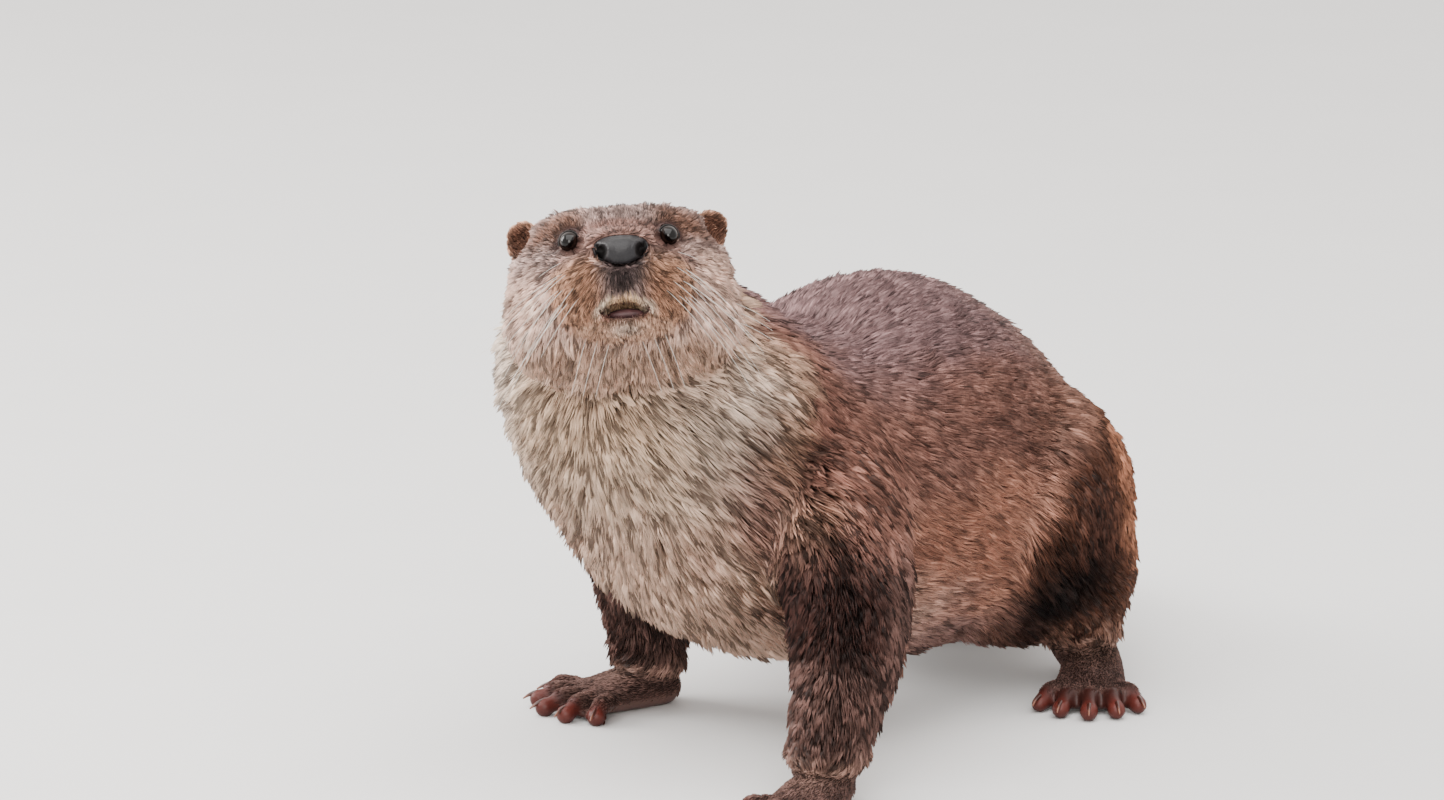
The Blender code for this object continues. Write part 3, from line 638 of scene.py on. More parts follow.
def head_gap(local):
    """Like a limb's distance over thickness, for points in the head's frame."""
    sections = np.array(HEAD_SECTIONS)
    forward = -local[:, 1]
    half, top, low = (np.interp(forward, sections[:, 0], sections[:, column]) for column in (1, 2, 3))
    over = np.maximum(forward - sections[-1, 0], 0) + np.maximum(sections[0, 0] - forward, 0)
    height = (local[:, 2] - (top + low) / 2) / ((top - low) / 2)
    return np.sqrt((local[:, 0] / half) ** 2 + height**2) * 0.94 + over / 0.03


points = points_of(hide.data)
hide.data.update()
normals = np.empty(len(points) * 3)
hide.data.vertex_normals.foreach_get("vector", normals)
normals = normals.reshape(-1, 3)
limbs = {name: Limb(rows) for name, rows in LIMBS.items()}
measures = {name: limb.measure(points) for name, limb in limbs.items()}
face_points = head_side(points)
gaps = np.stack([measure[0] for measure in measures.values()] + [head_gap(face_points)], axis=1)
weights = np.exp(-9.0 * (gaps - gaps.min(axis=1)[:, None]))
weights /= weights.sum(axis=1)[:, None]
on_trunk, on_tail, on_fore_left, on_fore_right, on_hind_left, on_hind_right, on_head = weights.T
on_fore, on_hind = on_fore_left + on_fore_right, on_hind_left + on_hind_right
_, spine_share, spine_up, spine_side, _ = measures["trunk"]
height = points[:, 2]
on_foot = ease(height, 0.040, 0.024) * np.clip(1.15 - on_tail * 1.6, 0, 1)
across, forward, level = face_points[:, 0], -face_points[:, 1], face_points[:, 2]
ear_local = [moved(points, ear_frame(side).inverted()) for side in (1, -1)]
on_ear, in_ear = np.zeros(len(points)), np.zeros(len(points))
for local in ear_local:
    ear_reach = np.linalg.norm(local * (1, 1.3, 1), axis=1)
    on_ear += ease(ear_reach, 0.0145, 0.0105) * ease(local[:, 2], -0.0085, -0.0050)
    in_ear += ease(from_cup(local), 0.96, 0.66) * (np.abs(local[:, 1] + 0.001) < 0.0045)
_, mouth_y, *mouth_rows = np.array(MOUTH).T
middle_line, half_wide, above, below = (np.interp(forward, -mouth_y, row) for row in mouth_rows)
drop = level - middle_line
mouth_gap = np.sqrt((across / half_wide) ** 2 + (drop / np.where(drop > 0, above, below)) ** 2)
mouth_gap = mouth_gap + 9 * (forward < 0.050)  # the mouth ends here, before the cheeks
in_mouth = ease(mouth_gap, 1.06, 0.98)
lip = (1 - 1 / mouth_gap) * np.hypot(across, drop) * 1e3  # millimetres from the mouth's edge
eye_gap = distance(face_points, EYE_PLACE)


def linear(code):
    """An sRGB hex colour as linear red, green and blue."""
    value = np.array([int(code[i : i + 2], 16) for i in (1, 3, 5)]) / 255
    return np.where(value <= 0.04045, value / 12.92, ((value + 0.055) / 1.055) ** 2.4)


def toward(colours, code, share):
    """Colours drawn towards one more, each by its own share."""
    return colours + (linear(code) - colours) * np.clip(share, 0, 1)[:, None]


def painted(colours, layers):
    """Colours drawn towards each layer's colour in turn."""
    for code, strength in layers:
        colours = toward(colours, code, strength)
    return colours


def all_over(code, count):
    """One colour at each of count points."""
    return np.repeat(linear(code)[None], count, axis=0)


def drift(points, size, seed):
    """A soft cloudy value of about -1 to 1 that changes over a distance of size."""
    rng = np.random.default_rng(seed)
    waves = rng.normal(size=(18, 3)) * 2.2 / size
    return np.sin(points @ waves.T + rng.uniform(0, 2 * math.pi, 18)).sum(axis=1) / 4.2


# Markings: grey-brown along the back, greyed on top by a painted sheen of the sky, redder down the flanks,
# cream on the sides of the neck, beige on the throat and breast, dark legs, a pale jowl under a darker
# muzzle, and a cream edge to the upper lip. Painted shade darkens the forelegs' fronts and the crease before
# each thigh, and a painted rim of light pales the backs of the hind legs.
patch = 0.08 * drift(points, 0.030, 3)
up = spine_up + patch
share = spine_share + patch * 0.3
# how high round the body the pale coat reaches, from the head to the belly: share of the spine, share up
PALE_EDGE = [
    (0.0, 0.6),
    (0.08, 0.45),
    (0.13, 0.12),
    (0.22, -0.10),
    (0.27, -0.28),
    (0.30, -0.46),
    (0.32, -0.66),
    (0.35, -0.90),
]
pale_edge = np.interp(share, *np.array(PALE_EDGE).T)
pale = ease(pale_edge - up + 0.06 * drift(points, 0.008, 13), -0.42, 0.30)
pale = pale * on_trunk * ease(share, 0.60, 0.36)
on_neck = pale * ease(share, 0.30, 0.08)
on_breast = pale * (1 - ease(share, 0.30, 0.08))
foreleg = ease(on_fore, 0.35, 0.70) * ease(height, 0.165, 0.120)
hind_leg = ease(on_hind, 0.35, 0.70)
# painted shade: a dark band down the front edge of the hind leg, in the crease where the flank meets the
# thigh, a little further back on the right one
stood = points - np.array(STAND.translation)
crease_shade_middle = 0.283 + 0.28 * stood[:, 2] + np.where(stood[:, 0] > 0, 0.0, 0.018)
crease_shade = np.exp(-(((stood[:, 1] - crease_shade_middle) / 0.025) ** 2)) * ease(np.abs(stood[:, 0]), 0.045, 0.070)
marks = painted(all_over("#77554b", len(points)), [
    ("#ad7c69", ease(up, 0.05, -0.40)),  # flank
    ("#83655e", ease(up, -0.70, -0.92)),  # belly
    # the back: its own grey-brown, greyer and mauve on top with a painted sheen of the sky
    ("#735b5b", ease(up, 0.25, 0.80)),  # back
    ("#9c7564", ease(share, 0.66, 0.85) * 0.7),  # rump
    ("#6c4b41", ease(share, 0.50, 0.38) * ease(up, 0.8, 0.3)),  # shoulder
    ("#98756a", on_breast),
    ("#e3c0aa", on_breast * ease(up, -0.60, -0.90) * ease(share, 0.18, 0.26)),  # low on the breast
    ("#ecd7c5", on_neck),
    ("#d3b69c", on_neck * ease(spine_up, -0.50, -0.90)),  # throat
    ("#94755f", 2.6 * pale * (1 - pale) * ease(share, 0.36, 0.22)),  # border of the pale coat
    ("#5d443b", on_tail * 0.85),
    ("#866c5e", on_tail * ease(measures["tail"][2], -0.4, -0.8) * 0.7),  # underside of the tail
    ("#503b36", foreleg),
    # painted shade: the foreleg's front above the wrist, under the chest, near black
    ("#200d0a", foreleg * ease(height, 0.075, 0.095) * ease(normals[:, 1], 0.1, -0.5) * 0.8),  # its front
    ("#7a5544", foreleg * ease(normals[:, 1], 0.30, 0.80) * 0.6),  # its back
    ("#55372a", hind_leg * ease(height, 0.200, 0.150)),
    # the hind leg's back: its redder fur, paled further by a painted rim of light from behind
    ("#94644d", hind_leg * ease(normals[:, 1], 0.10, 0.34) * ease(height, 0.05, 0.09) * 0.7),  # its back
    # painted shade in the crease before the thigh, near black in its lower part
    ("#33201b", crease_shade * ease(stood[:, 2], 0.195, 0.120) * 0.85),
    ("#160b08", crease_shade * ease(stood[:, 2], 0.105, 0.080) * ease(stood[:, 2], 0.040, 0.058)),
    ("#8d6a5b", hind_leg * ease(height, 0.056, 0.040)),  # ankle
])

# The head has its own colours, drawn over the body's where the head begins.
left_of_face = moved(points, HEAD.inverted())[:, 0]
above_eye = ease(across, 0.012, 0.026) * ease(forward, 0.020, 0.040)
behind_muzzle = ease(forward, 0.064, 0.046)
low_on_muzzle = ease(forward, 0.054, 0.066) * ease(level, 0.006, -0.004)
upper_lip = ease(lip + 1.2 * drift(points, 0.006, 9), 5.0, 3.2) * ease(drop, -0.0035, 0.0)
eye_streaks = near(face_points, (0.0190, -0.0550, 0.0200), 0.0040)
# painted shade over the eye, where the brow overhangs it
brow_shade_over_eye = near(face_points, (0.0290, -0.0500, 0.0265), 0.0030)
head = painted(marks, [
    ("#8a756f", np.ones(len(points))),  # crown
    ("#61402f", above_eye * ease(level, 0.012, 0.024) * 0.8),  # forehead, over the eyes
    ("#efc9b7", ease(level + patch * 0.05, 0.012, -0.004) * behind_muzzle),  # cheek
    ("#dbb79e", ease(level, -0.022, -0.036) * behind_muzzle * 0.7),  # jowl
    ("#745850", ease(forward, 0.050, 0.062) * ease(level, -0.006, 0.008)),  # bridge of the muzzle
    ("#9c7660", low_on_muzzle * ease(across, 0.006, 0.016)),  # whisker pads
    ("#463a39", near(face_points, (0.0, -0.088, -0.006), 0.0095) * 1.6),  # under the nose
    ("#cfa78e", ease(forward, 0.056, 0.064) * ease(level, -0.0285, -0.0310)),  # chin
    ("#f8dfc8", upper_lip * ease(across, 0.019, 0.012)),
    ("#fbcb9c", upper_lip * ease(across, 0.012, 0.005) * ease(lip, 5.0, 3.0) * 0.8),
    ("#a8624c", near(face_points, (0.0150, -0.0820, -0.0110), 0.0050) * (left_of_face > 0)),  # left pad
    ("#7c5248", ease(lip, 2.2, 1.0) * ease(drop, -0.001, -0.003)),  # lower lip
    ("#e2cfc0", near(face_points * (1, 1, 1.4), (0.0, -0.0760, -0.0500), 0.0080) * 0.8),  # under the chin
    # round the eye: a ring of dark fur, dark streaks at its front corner, and painted shade over the eye
    ("#33201d", ease(eye_gap, 0.0098, 0.0078) + eye_streaks + brow_shade_over_eye * 0.7),  # round the eye
])
marks += (head - marks) * ease(on_head, 0.25, 0.75)[:, None]
on_toe = np.zeros(len(points))
tip_red = np.zeros(len(points))
for name in FEET:
    local = moved(points, foot_frame(name).inverted())
    for index in range(5):
        toe_root, toe_tip, toe_way = (np.array(each) for each in toe_line(name, index))
        along_toe = (local - toe_root) @ toe_way
        beside = np.linalg.norm(local - toe_root - along_toe[:, None] * toe_way, axis=1)
        on_this = ease(along_toe, 0.011, 0.019) * ease(beside, 0.0095, 0.0070) * (along_toe < 0.06)
        on_toe = np.maximum(on_toe, on_this)
        tip_red = np.maximum(tip_red, near(local - toe_tip + 0.004 * toe_way, (0, 0, 0), 0.0075))
marks = painted(marks, [
    ("#a9816c", on_ear),
    # inside the ear's cup: its darker skin, deepened with painted shade of the hollow
    ("#4f3227", in_ear * 0.9),
    ("#523d38", on_foot),
    ("#7a6055", on_foot * ease(height, 0.015, 0.027) * 0.8),  # back of the foot
    ("#2c1512", on_toe * on_foot),
    ("#58251f", tip_red * on_foot * 0.75),
    ("#4a2e2d", in_mouth * 1.2),
])
marks = np.clip(marks * (1 + 0.10 * drift(points, 0.012, 5))[:, None], 0.002, 0.9)

# The lie of the coat: back from the nose, down the neck, along the trunk and tail, and down the legs.
lie = sum(weight[:, None] * measure[4] for weight, measure in zip(weights.T, measures.values()))
lie[:, 2] -= 0.45 * on_trunk * ease(np.abs(spine_up), 1.0, 0.3)
lie[:, 2] -= 0.40 * (on_breast + on_neck)
fan = np.clip(spine_side * 1.6, -1, 1) * (on_breast * 0.8 + on_neck * 1.1)
lie += fan[:, None] * np.array([1.0, 0.0, 0.0]) + np.abs(fan)[:, None] * np.array([0.0, 0.55, 0.0])
lie[:, 1] += 0.25 * (on_fore + on_hind)
from_nose = unit(moved(points, HEAD.inverted()) - (0.0, -0.100, 0.008))
from_nose[:, 1] += 0.30 * ease(forward, 0.065, 0.04)
from_nose[:, 2] -= 0.40 * ease(level, 0.018, -0.010) * ease(forward, 0.080, 0.055)
turn = np.array(HEAD.to_3x3())
lie += (from_nose @ turn.T - lie) * ease(on_head, 0.2, 0.8)[:, None]
for side in (1, -1):
    rise = np.array(ear_frame(side).to_3x3() @ Vector((0.2 * side, 0.15, 1.0)))
    there = on_ear * (across > 0.03) * (left_of_face * side > 0)
    lie += (rise - lie) * there[:, None]
for side in (1, -1):
    away = points - np.array(eye_frame(side).translation)
    gap = np.linalg.norm(away, axis=1)
    lie += away / gap[:, None] * (1.6 * np.exp(-(((gap - EYE_RADIUS) / 0.0045) ** 2)))[:, None]
for name in FEET:
    frame_of_foot = foot_frame(name)
    close = ease(distance(points, frame_of_foot @ Vector((0, -0.04, 0))), 0.10, 0.08) * on_foot
    ahead = np.array(frame_of_foot.to_3x3() @ Vector((0, -1, -0.1)))
    lie += (ahead - lie) * close[:, None]


def flattened(vectors, normals):
    """The vectors laid along the surface, at unit length."""
    return unit(vectors - normals * (vectors * normals).sum(axis=1)[:, None])


faces = np.empty(len(hide.data.polygons) * 3, np.int64)
hide.data.polygons.foreach_get("vertices", faces)
faces = faces.reshape(-1, 3)
pairs = np.concatenate([faces[:, [0, 1]], faces[:, [1, 2]], faces[:, [2, 0]]])


def evened(values, rounds):
    """Values at the hide's points, each drawn towards the mean of its neighbours, round after round."""
    count = np.bincount(pairs.ravel(), minlength=len(values))
    count = np.maximum(count, 1).astype(float)
    columns = values.reshape(len(values), -1)
    for _ in range(rounds):
        total = np.empty_like(columns)
        for column in range(columns.shape[1]):
            one = np.bincount(pairs[:, 0], columns[pairs[:, 1], column], len(values))
            two = np.bincount(pairs[:, 1], columns[pairs[:, 0], column], len(values))
            total[:, column] = (one + two) / count
        columns = 0.3 * columns + 0.7 * total
    return columns.reshape(values.shape)


lie = flattened(evened(flattened(lie, normals), 14), normals)

# Each zone's coat: tufts in a square centimetre; in millimetres a tuft's length and width, the height of
# its tip over the hide, and the hide's depth under the solids; then how far tips gather into points, how
# much tufts vary in tone, and how many make one lock.
ZONES = {
    "muzzle": (180, 5.4, 0.42, 1.5, 0.6, 0.80, 0.75, 5),
    "brow": (180, 5.6, 0.42, 1.5, 0.7, 0.72, 0.60, 6),
    "crown": (115, 8.0, 0.50, 3.4, 0.9, 0.78, 0.60, 7),
    "cheek": (85, 11.5, 0.54, 4.6, 1.5, 0.88, 0.80, 6),
    "neck": (66, 15.0, 0.60, 6.6, 4.0, 0.92, 1.05, 5),
    "breast": (60, 16.0, 0.62, 7.0, 5.0, 0.93, 1.12, 5),
    "back": (74, 13.0, 0.58, 3.6, 3.8, 0.66, 0.34, 5),
    "flank": (70, 14.0, 0.60, 4.0, 4.2, 0.72, 0.38, 5),
    "leg": (62, 10.0, 0.58, 4.2, 3.0, 0.86, 0.62, 5),
    "tail": (42, 13.0, 0.74, 3.0, 3.5, 0.50, 0.30, 5),
    "ear": (170, 3.6, 0.36, 1.1, 0.5, 0.30, 0.40, 4),
    "foot": (100, 4.2, 0.44, 0.7, 0.5, 0.30, 0.30, 4),
}
muzzle = ease(forward, 0.052, 0.070)
low_cheek = ease(level, 0.012, -0.004)
limb = ease(on_fore + on_hind, 0.35, 0.75) * ease(height, 0.16, 0.10)
rest_of_trunk = np.clip(1 - on_head - on_tail - limb, 0, 1)
brow = ease(forward, 0.022, 0.046)
parts = {
    "muzzle": on_head * muzzle,
    "cheek": on_head * (1 - muzzle) * low_cheek,
    "brow": on_head * (1 - muzzle) * (1 - low_cheek) * brow,
    "crown": on_head * (1 - muzzle) * (1 - low_cheek) * (1 - brow),
    "neck": rest_of_trunk * ease(share, 0.34, 0.20),
    "breast": rest_of_trunk * ease(share, 0.20, 0.34) * ease(share, 0.46, 0.36) * ease(up, 0.25, -0.25),
    "tail": on_tail,
    "leg": limb,
}
parts["back"] = np.clip(rest_of_trunk - parts["neck"] - parts["breast"], 0, 1) * ease(up, 0.1, 0.5)
parts["flank"] = np.clip(rest_of_trunk - parts["neck"] - parts["breast"] - parts["back"], 0, 1)
zone = np.stack([parts.get(name, np.zeros(len(points))) for name in ZONES], axis=1)
zone /= np.maximum(zone.sum(axis=1), 1e-6)[:, None]
names = list(ZONES)
for name, share_there in (("ear", on_ear), ("foot", ease(height, 0.030, 0.018) * (1 - on_tail))):
    kept = 1 - np.clip(share_there, 0, 1)
    zone *= kept[:, None]
    zone[:, names.index(name)] += 1 - kept
zone = evened(zone, 10)
thick, tuft_long, tuft_wide, tuft_high, depth, gather, vary, lock = (zone @ np.array(list(ZONES.values()))).T
# the brown coat of neck and shoulders is less streaked than the pale coat beside it
vary = vary * (1 - 0.45 * np.clip(parts["neck"] + parts["breast"] - pale, 0, 1))
bare = np.maximum.reduce([
    in_mouth,
    ease(eye_gap, 0.0082, 0.0073),
    near(face_points * (1, 1, 1.5), np.array(NOSE_PLACE) * (1, 1, 1.5), 0.0138) * 1.2,
    in_ear * 0.35,
    on_toe * on_foot,
    on_foot * ease(normals[:, 2], 0.0, -0.3) * ease(height, 0.012, 0.006),
    (height < 0.0006) * 1.0,
])
bare = evened(np.clip(bare, 0, 1), 1)
close_to_bare = evened(np.clip(bare, 0, 1), 4)
depth *= 1e-3 * (1 - close_to_bare) * (1 - 0.8 * on_foot)
depth = evened(depth, 8)
eye_edge = ease(eye_gap, 0.0110, 0.0075)
depth *= 1 - eye_edge
smooth_normals = unit(evened(normals, 4))
settled = points - smooth_normals * depth[:, None]
settled[:, 2] = np.where(points[:, 2] < 0.0005, points[:, 2], np.maximum(settled[:, 2], 0.0004))
set_points(hide.data, settled)
points = settled
hide.data.shade_smooth()
hide.data.vertex_normals.foreach_get("vector", normals.reshape(-1))


def nodes_of(name, sockets):
    """A new material, its tree, and its surface shader with these values on its own sockets."""
    material = bpy.data.materials.new(name)
    material.use_nodes = True
    shader = material.node_tree.nodes["Principled BSDF"]
    for socket, value in sockets.items():
        shader.inputs[socket].default_value = value
    return material, material.node_tree, shader


def add_node(tree, kind, links=None, **settings):
    """One node with its settings, its inputs' values and the links into it."""
    node = tree.nodes.new(kind)
    for setting, value in settings.items():
        setattr(node, setting, value)
    for socket, source in (links or {}).items():
        if isinstance(source, bpy.types.NodeSocket):
            tree.links.new(source, node.inputs[socket])
        else:
            node.inputs[socket].default_value = source
    return node


def mottled(tree, shader, pattern, low, high):
    """Gives the surface its own point colours, times a tone that the pattern moves from low to high."""
    own = add_node(tree, "ShaderNodeVertexColor", layer_name="marks")
    tone = add_node(tree, "ShaderNodeMapRange", {"Value": pattern, "To Min": low, "To Max": high})
    factors = {0: own.outputs["Color"], 1: tone.outputs["Result"]}
    shaded = add_node(tree, "ShaderNodeVectorMath", factors, operation="MULTIPLY")
    tree.links.new(shaded.outputs["Vector"], shader.inputs["Base Color"])


def colour_points(mesh, colours):
    """Keeps a colour at each of the mesh's points, for its material."""
    layer = mesh.color_attributes.new("marks", "FLOAT_COLOR", "POINT")
    with_alpha = np.hstack([colours, np.ones((len(colours), 1))])
    layer.data.foreach_set("color", with_alpha.astype(np.float32).ravel())


# hide under the fur: dull, dark with the wool's roots, mottled over a few millimetres and finely pebbled
ROOT_SHADE = 0.20
MOTTLE, PEBBLE = 0.004, 0.0008
hide_skin, tree, shader = nodes_of("otter_hide", {"Roughness": 0.75, "Specular IOR Level": 0.08})
place = add_node(tree, "ShaderNodeTexCoord").outputs["Object"]
pebble = add_node(tree, "ShaderNodeTexVoronoi", {"Vector": place, "Scale": 1 / PEBBLE})
grain = add_node(tree, "ShaderNodeTexNoise", {"Vector": place, "Scale": 1 / MOTTLE, "Detail": 4.0})
mottled(tree, shader, grain.outputs["Fac"], 0.78, 1.22)
pebbles = pebble.outputs["Distance"]
bump = add_node(tree, "ShaderNodeBump", {"Height": pebbles, "Strength": 0.45, "Distance": 0.0004})
tree.links.new(bump.outputs["Normal"], shader.inputs["Normal"])
hide.data.materials.clear()
hide.data.materials.append(hide_skin)
# toes, soles, lips and lid rims: damp skin without hair, whose creases 0.6 mm apart break its shine
CREASE = 0.0006
shine = {"Roughness": 0.42, "IOR": 1.40, "Specular IOR Level": 0.30}
damp_skin, tree, shader = nodes_of("damp_bare_skin", shine)
place = add_node(tree, "ShaderNodeTexCoord").outputs["Object"]
crease = add_node(tree, "ShaderNodeTexNoise", {"Vector": place, "Scale": 1 / CREASE, "Detail": 3.0})
creases = crease.outputs["Fac"]
mottled(tree, shader, creases, 0.75, 1.25)
bump = add_node(tree, "ShaderNodeBump", {"Height": creases, "Strength": 0.4, "Distance": 0.0003})
tree.links.new(bump.outputs["Normal"], shader.inputs["Normal"])
hide.data.materials.append(damp_skin)
hide.data.polygons.foreach_set("material_index", (bare[faces].mean(axis=1) > 0.5).astype(np.int32))
# the pale coat at the neck's sides and on the upper lip is pale down to the wool
root_shade = ROOT_SHADE + 0.40 * np.clip(on_neck * ease(spine_up, -0.50, -0.05) + upper_lip * 1.4, 0, 1)
root_shade -= 0.06 * on_breast
# under the guard hair's tips the coat is brown wool, so the gaps between pale locks are brown
browner = ease(marks.mean(axis=1), 0.12, 0.40) * (0.85 - root_shade)
wool = toward(marks * root_shade[:, None], "#4a3021", browner)
roots = wool + (marks - wool) * np.clip(close_to_bare * 1.3, 0, 1)[:, None]
colour_points(hide.data, roots)
FLESH = [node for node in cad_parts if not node.startswith(("eye_", "claw_", "nose_pad"))]
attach(hide, "root")
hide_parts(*FLESH)


# ---------------------------------------------------------------- the eyes
# Two small wet balls, near black: a wide pupil in a dark brown iris under a clear cornea. A dark bare rim
# of lid lies close round each, paler at its lower outer edge with a painted highlight of the wet lid.


def eye_ball(side, rings=40, sides=56):
    """The ball, with a low bulge of cornea over the iris."""
    points, angles = [], []
    for off_axis in np.linspace(0.01, math.pi - 0.01, rings):
        cornea = 0.00045 * math.exp(-((off_axis / 0.62) ** 4))
        reach = EYE_RADIUS - 0.0003 + cornea
        wide = reach * math.sin(off_axis)
        for turn in np.linspace(0, 2 * math.pi, sides, endpoint=False):
            points.append((wide * math.cos(turn), -reach * math.cos(off_axis), wide * math.sin(turn)))
            angles.append(math.degrees(off_axis))
    return placed((np.array(points), ring_faces(rings, sides)), eye_frame(side)), np.array(angles)


# cornea over iris: a clear wet coat with water's IOR gives one sharp light over the dark iris, whose fibres
# are drawn 0.7 mm apart, coarser than they are, so that they show
IRIS_FIBRE = 0.0007
shine = {"Roughness": 0.30, "Specular IOR Level": 0.0}
shine |= {"Coat Weight": 1.0, "Coat Roughness": 0.03, "Coat IOR": 1.33}
wet_eye, tree, shader = nodes_of("wet_dark_eye", shine)
place = add_node(tree, "ShaderNodeTexCoord").outputs["Object"]
fibre = add_node(tree, "ShaderNodeTexNoise", {"Vector": place, "Scale": 1 / IRIS_FIBRE, "Detail": 3.0})
mottled(tree, shader, fibre.outputs["Fac"], 0.6, 1.4)


def finished(made, material, node, colours):
    """The piece in its material and point colours, shaded smooth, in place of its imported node."""
    made.data.materials.clear()
    made.data.materials.append(material)
    made.data.shade_smooth()
    colour_points(made.data, colours)
    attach(made, "root")
    if node:
        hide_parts(node)


RIM_HIGH, RIM_WIDE = 0.0005, 0.0006  # half the thickness of the lids' bare rim, out of the eye and across it
for side, node in ((1, "eye_left"), (-1, "eye_right")):
    (ball_points, ball_faces), angles = eye_ball(side)
    ball = new_object(node.replace("eye", "eyeball"), ball_points, ball_faces)
    # degrees from the eye's axis: the iris ends at about 57 and the pupil at about 41
    iris_and_pupil = [("#160d0a", ease(angles, 62, 52)), ("#030202", ease(angles, 44, 38))]
    finished(ball, wet_eye, node, painted(all_over("#070404", len(angles)), iris_and_pupil))
    rim_points, rim_faces, lid_highlight_share = [], [], []
    steps, sides = 72, 10
    for index, turn in enumerate(np.linspace(0, 2 * math.pi, steps, endpoint=False)):
        off_axis = math.radians(opening(turn) + 2.0)
        wide, ahead = math.sin(off_axis), math.cos(off_axis)
        out = Vector((wide * math.cos(turn) * side, -ahead, wide * math.sin(turn)))
        across_rim = Vector((ahead * math.cos(turn) * side, wide, ahead * math.sin(turn)))
        for corner in range(sides):
            bend = 2 * math.pi * corner / sides
            raised = out * (EYE_RADIUS - 0.0001 + RIM_HIGH * math.cos(bend))
            rim_points.append(raised + across_rim * RIM_WIDE * math.sin(bend))
            # a painted highlight along the lower outer edge of the lid, where it is wet
            lid_highlight_share.append(np.clip(-math.sin(turn - 0.35), 0, 1))
            a, b = index * sides + corner, index * sides + (corner + 1) % sides
            c, d = (index + 1) % steps * sides + corner, (index + 1) % steps * sides + (corner + 1) % sides
            rim_faces.append((a, b, d, c))
    rim = new_object(node.replace("eye", "lid"), moved(np.array(rim_points), eye_frame(side)), rim_faces)
    painted_lid_highlight = [("#8a6f64", ease(np.array(lid_highlight_share), 0.55, 0.95))]
    finished(rim, damp_skin, None, painted(all_over("#0e0908", len(lid_highlight_share)), painted_lid_highlight))


# ---------------------------------------------------------------- the nose pad
# Bare blackish skin, finely pebbled and damp, with a comma-shaped nostril at each side. It sits on the tip
# of the muzzle as a cap.

NOSTRIL = (0.0108, -0.0006)  # across and up from the pad's middle
NOSTRIL_HALF = (0.0029, 0.0037)  # half its width and height
NOSTRIL_DEPTH = 0.0070
NOSTRIL_TAIL = (0.0134, 0.0020)  # across and up to the comma's tail
TAIL_HALF = (0.0022, 0.0024)


def round_spot(beside, level_there, middle, half):
    """How far points are from the middle of an oval, squared, where 1 is its edge."""
    return ((beside - middle[0]) / half[0]) ** 2 + ((level_there - middle[1]) / half[1]) ** 2


def nose_pad():
    """The pad with its two nostrils, and how deep in a nostril each point lies."""
    half, high = NOSE_HALF, NOSE_HIGH
    rows = [
        (0, 0.0060, 0.0004, half * 0.86, high * 0.92),
        (0, 0.0010, 0.0002, half, high),
        (0, -0.0035, -0.0006, half * 0.86, high * 0.85),
    ]
    points, faces = tube(rows, count=12, sides=96, squareness=2.5, dome=22)
    points[:, 0] *= 1 - 0.14 * np.clip(-points[:, 2] / high, 0, 1)
    points[:, 2] *= np.where(points[:, 2] < 0, 0.80, 1.0)
    front = ease(points[:, 1], 0.0, -0.004)
    beside, level_there = np.abs(points[:, 0]), points[:, 2]
    # the middle swells forward and hangs a little lower than the wings of the nostrils
    middle_swell = np.exp(-((beside / 0.0070) ** 4))
    points[:, 1] -= 0.0016 * middle_swell * front
    points[:, 2] -= 0.0016 * middle_swell * ease(level_there, 0.0, -high) * front
    points[:, 1] += 0.0009 * np.exp(-((beside / 0.0012) ** 2)) * ease(level_there, -0.002, -0.006) * front
    round_hole = round_spot(beside, level_there, NOSTRIL, NOSTRIL_HALF)
    tail = round_spot(beside, level_there, NOSTRIL_TAIL, TAIL_HALF)
    hollow = np.maximum(np.exp(-(round_hole**2)), 0.6 * np.exp(-(tail**2))) * front
    rim = np.exp(-(((np.sqrt(round_hole) - 1.45) / 0.30) ** 2)) * front
    points[:, 1] += NOSTRIL_DEPTH * hollow - 0.0005 * rim
    return placed((points, faces), NOSE_FRAME), hollow


# nose leather: keratin pebbles 0.7 mm across with damp between them, so the light breaks into small glints
NOSE_PEBBLE = 0.0007
nose_leather, tree, shader = nodes_of("damp_nose_leather", {"IOR": 1.36})
place = add_node(tree, "ShaderNodeTexCoord").outputs["Object"]
pebble = add_node(tree, "ShaderNodeTexVoronoi", {"Vector": place, "Scale": 1 / NOSE_PEBBLE})
pebbles = pebble.outputs["Distance"]
mottled(tree, shader, pebbles, 1.25, 0.70)
damp = add_node(tree, "ShaderNodeMapRange", {"Value": pebbles, "To Min": 0.34, "To Max": 0.52})
tree.links.new(damp.outputs["Result"], shader.inputs["Roughness"])
bumps = {"Height": pebbles, "Strength": 0.5, "Distance": 0.0003}
bump = add_node(tree, "ShaderNodeBump", bumps, invert=True)
tree.links.new(bump.outputs["Normal"], shader.inputs["Normal"])
(pad_points, pad_faces), hollow = nose_pad()
# the blackish leather, near black inside the nostrils with painted shade of their hollows
tones = toward(all_over("#111013", len(pad_points)), "#030202", ease(hollow, 0.10, 0.45))
finished(new_object("nose_leather", pad_points, pad_faces), nose_leather, "nose_pad", tones)

# ---------------------------------------------------------------- the tongue
# The front of the tongue shows in the open mouth: soft muscle under a wet pink skin, painted dark for the
# shade inside the mouth. It is rooted in the floor of the mouth and lies low behind the lower lip.

# x, y, z of the section's middle, half-width, half-height
TONGUE = [
    (0.0005, -0.0540, -0.0262, 0.0082, 0.0024),
    (0.0008, -0.0660, -0.0266, 0.0098, 0.0034),
    (0.0010, -0.0760, -0.0284, 0.0092, 0.0030),
]
tongue = new_object("tongue", *placed(tube(TONGUE, first_side=(-1, 0, 0), count=14, sides=28, dome=6), HEAD))
tongue_points = points_of(tongue.data)
blotches = 1 + 0.35 * drift(tongue_points, 0.004, 8)
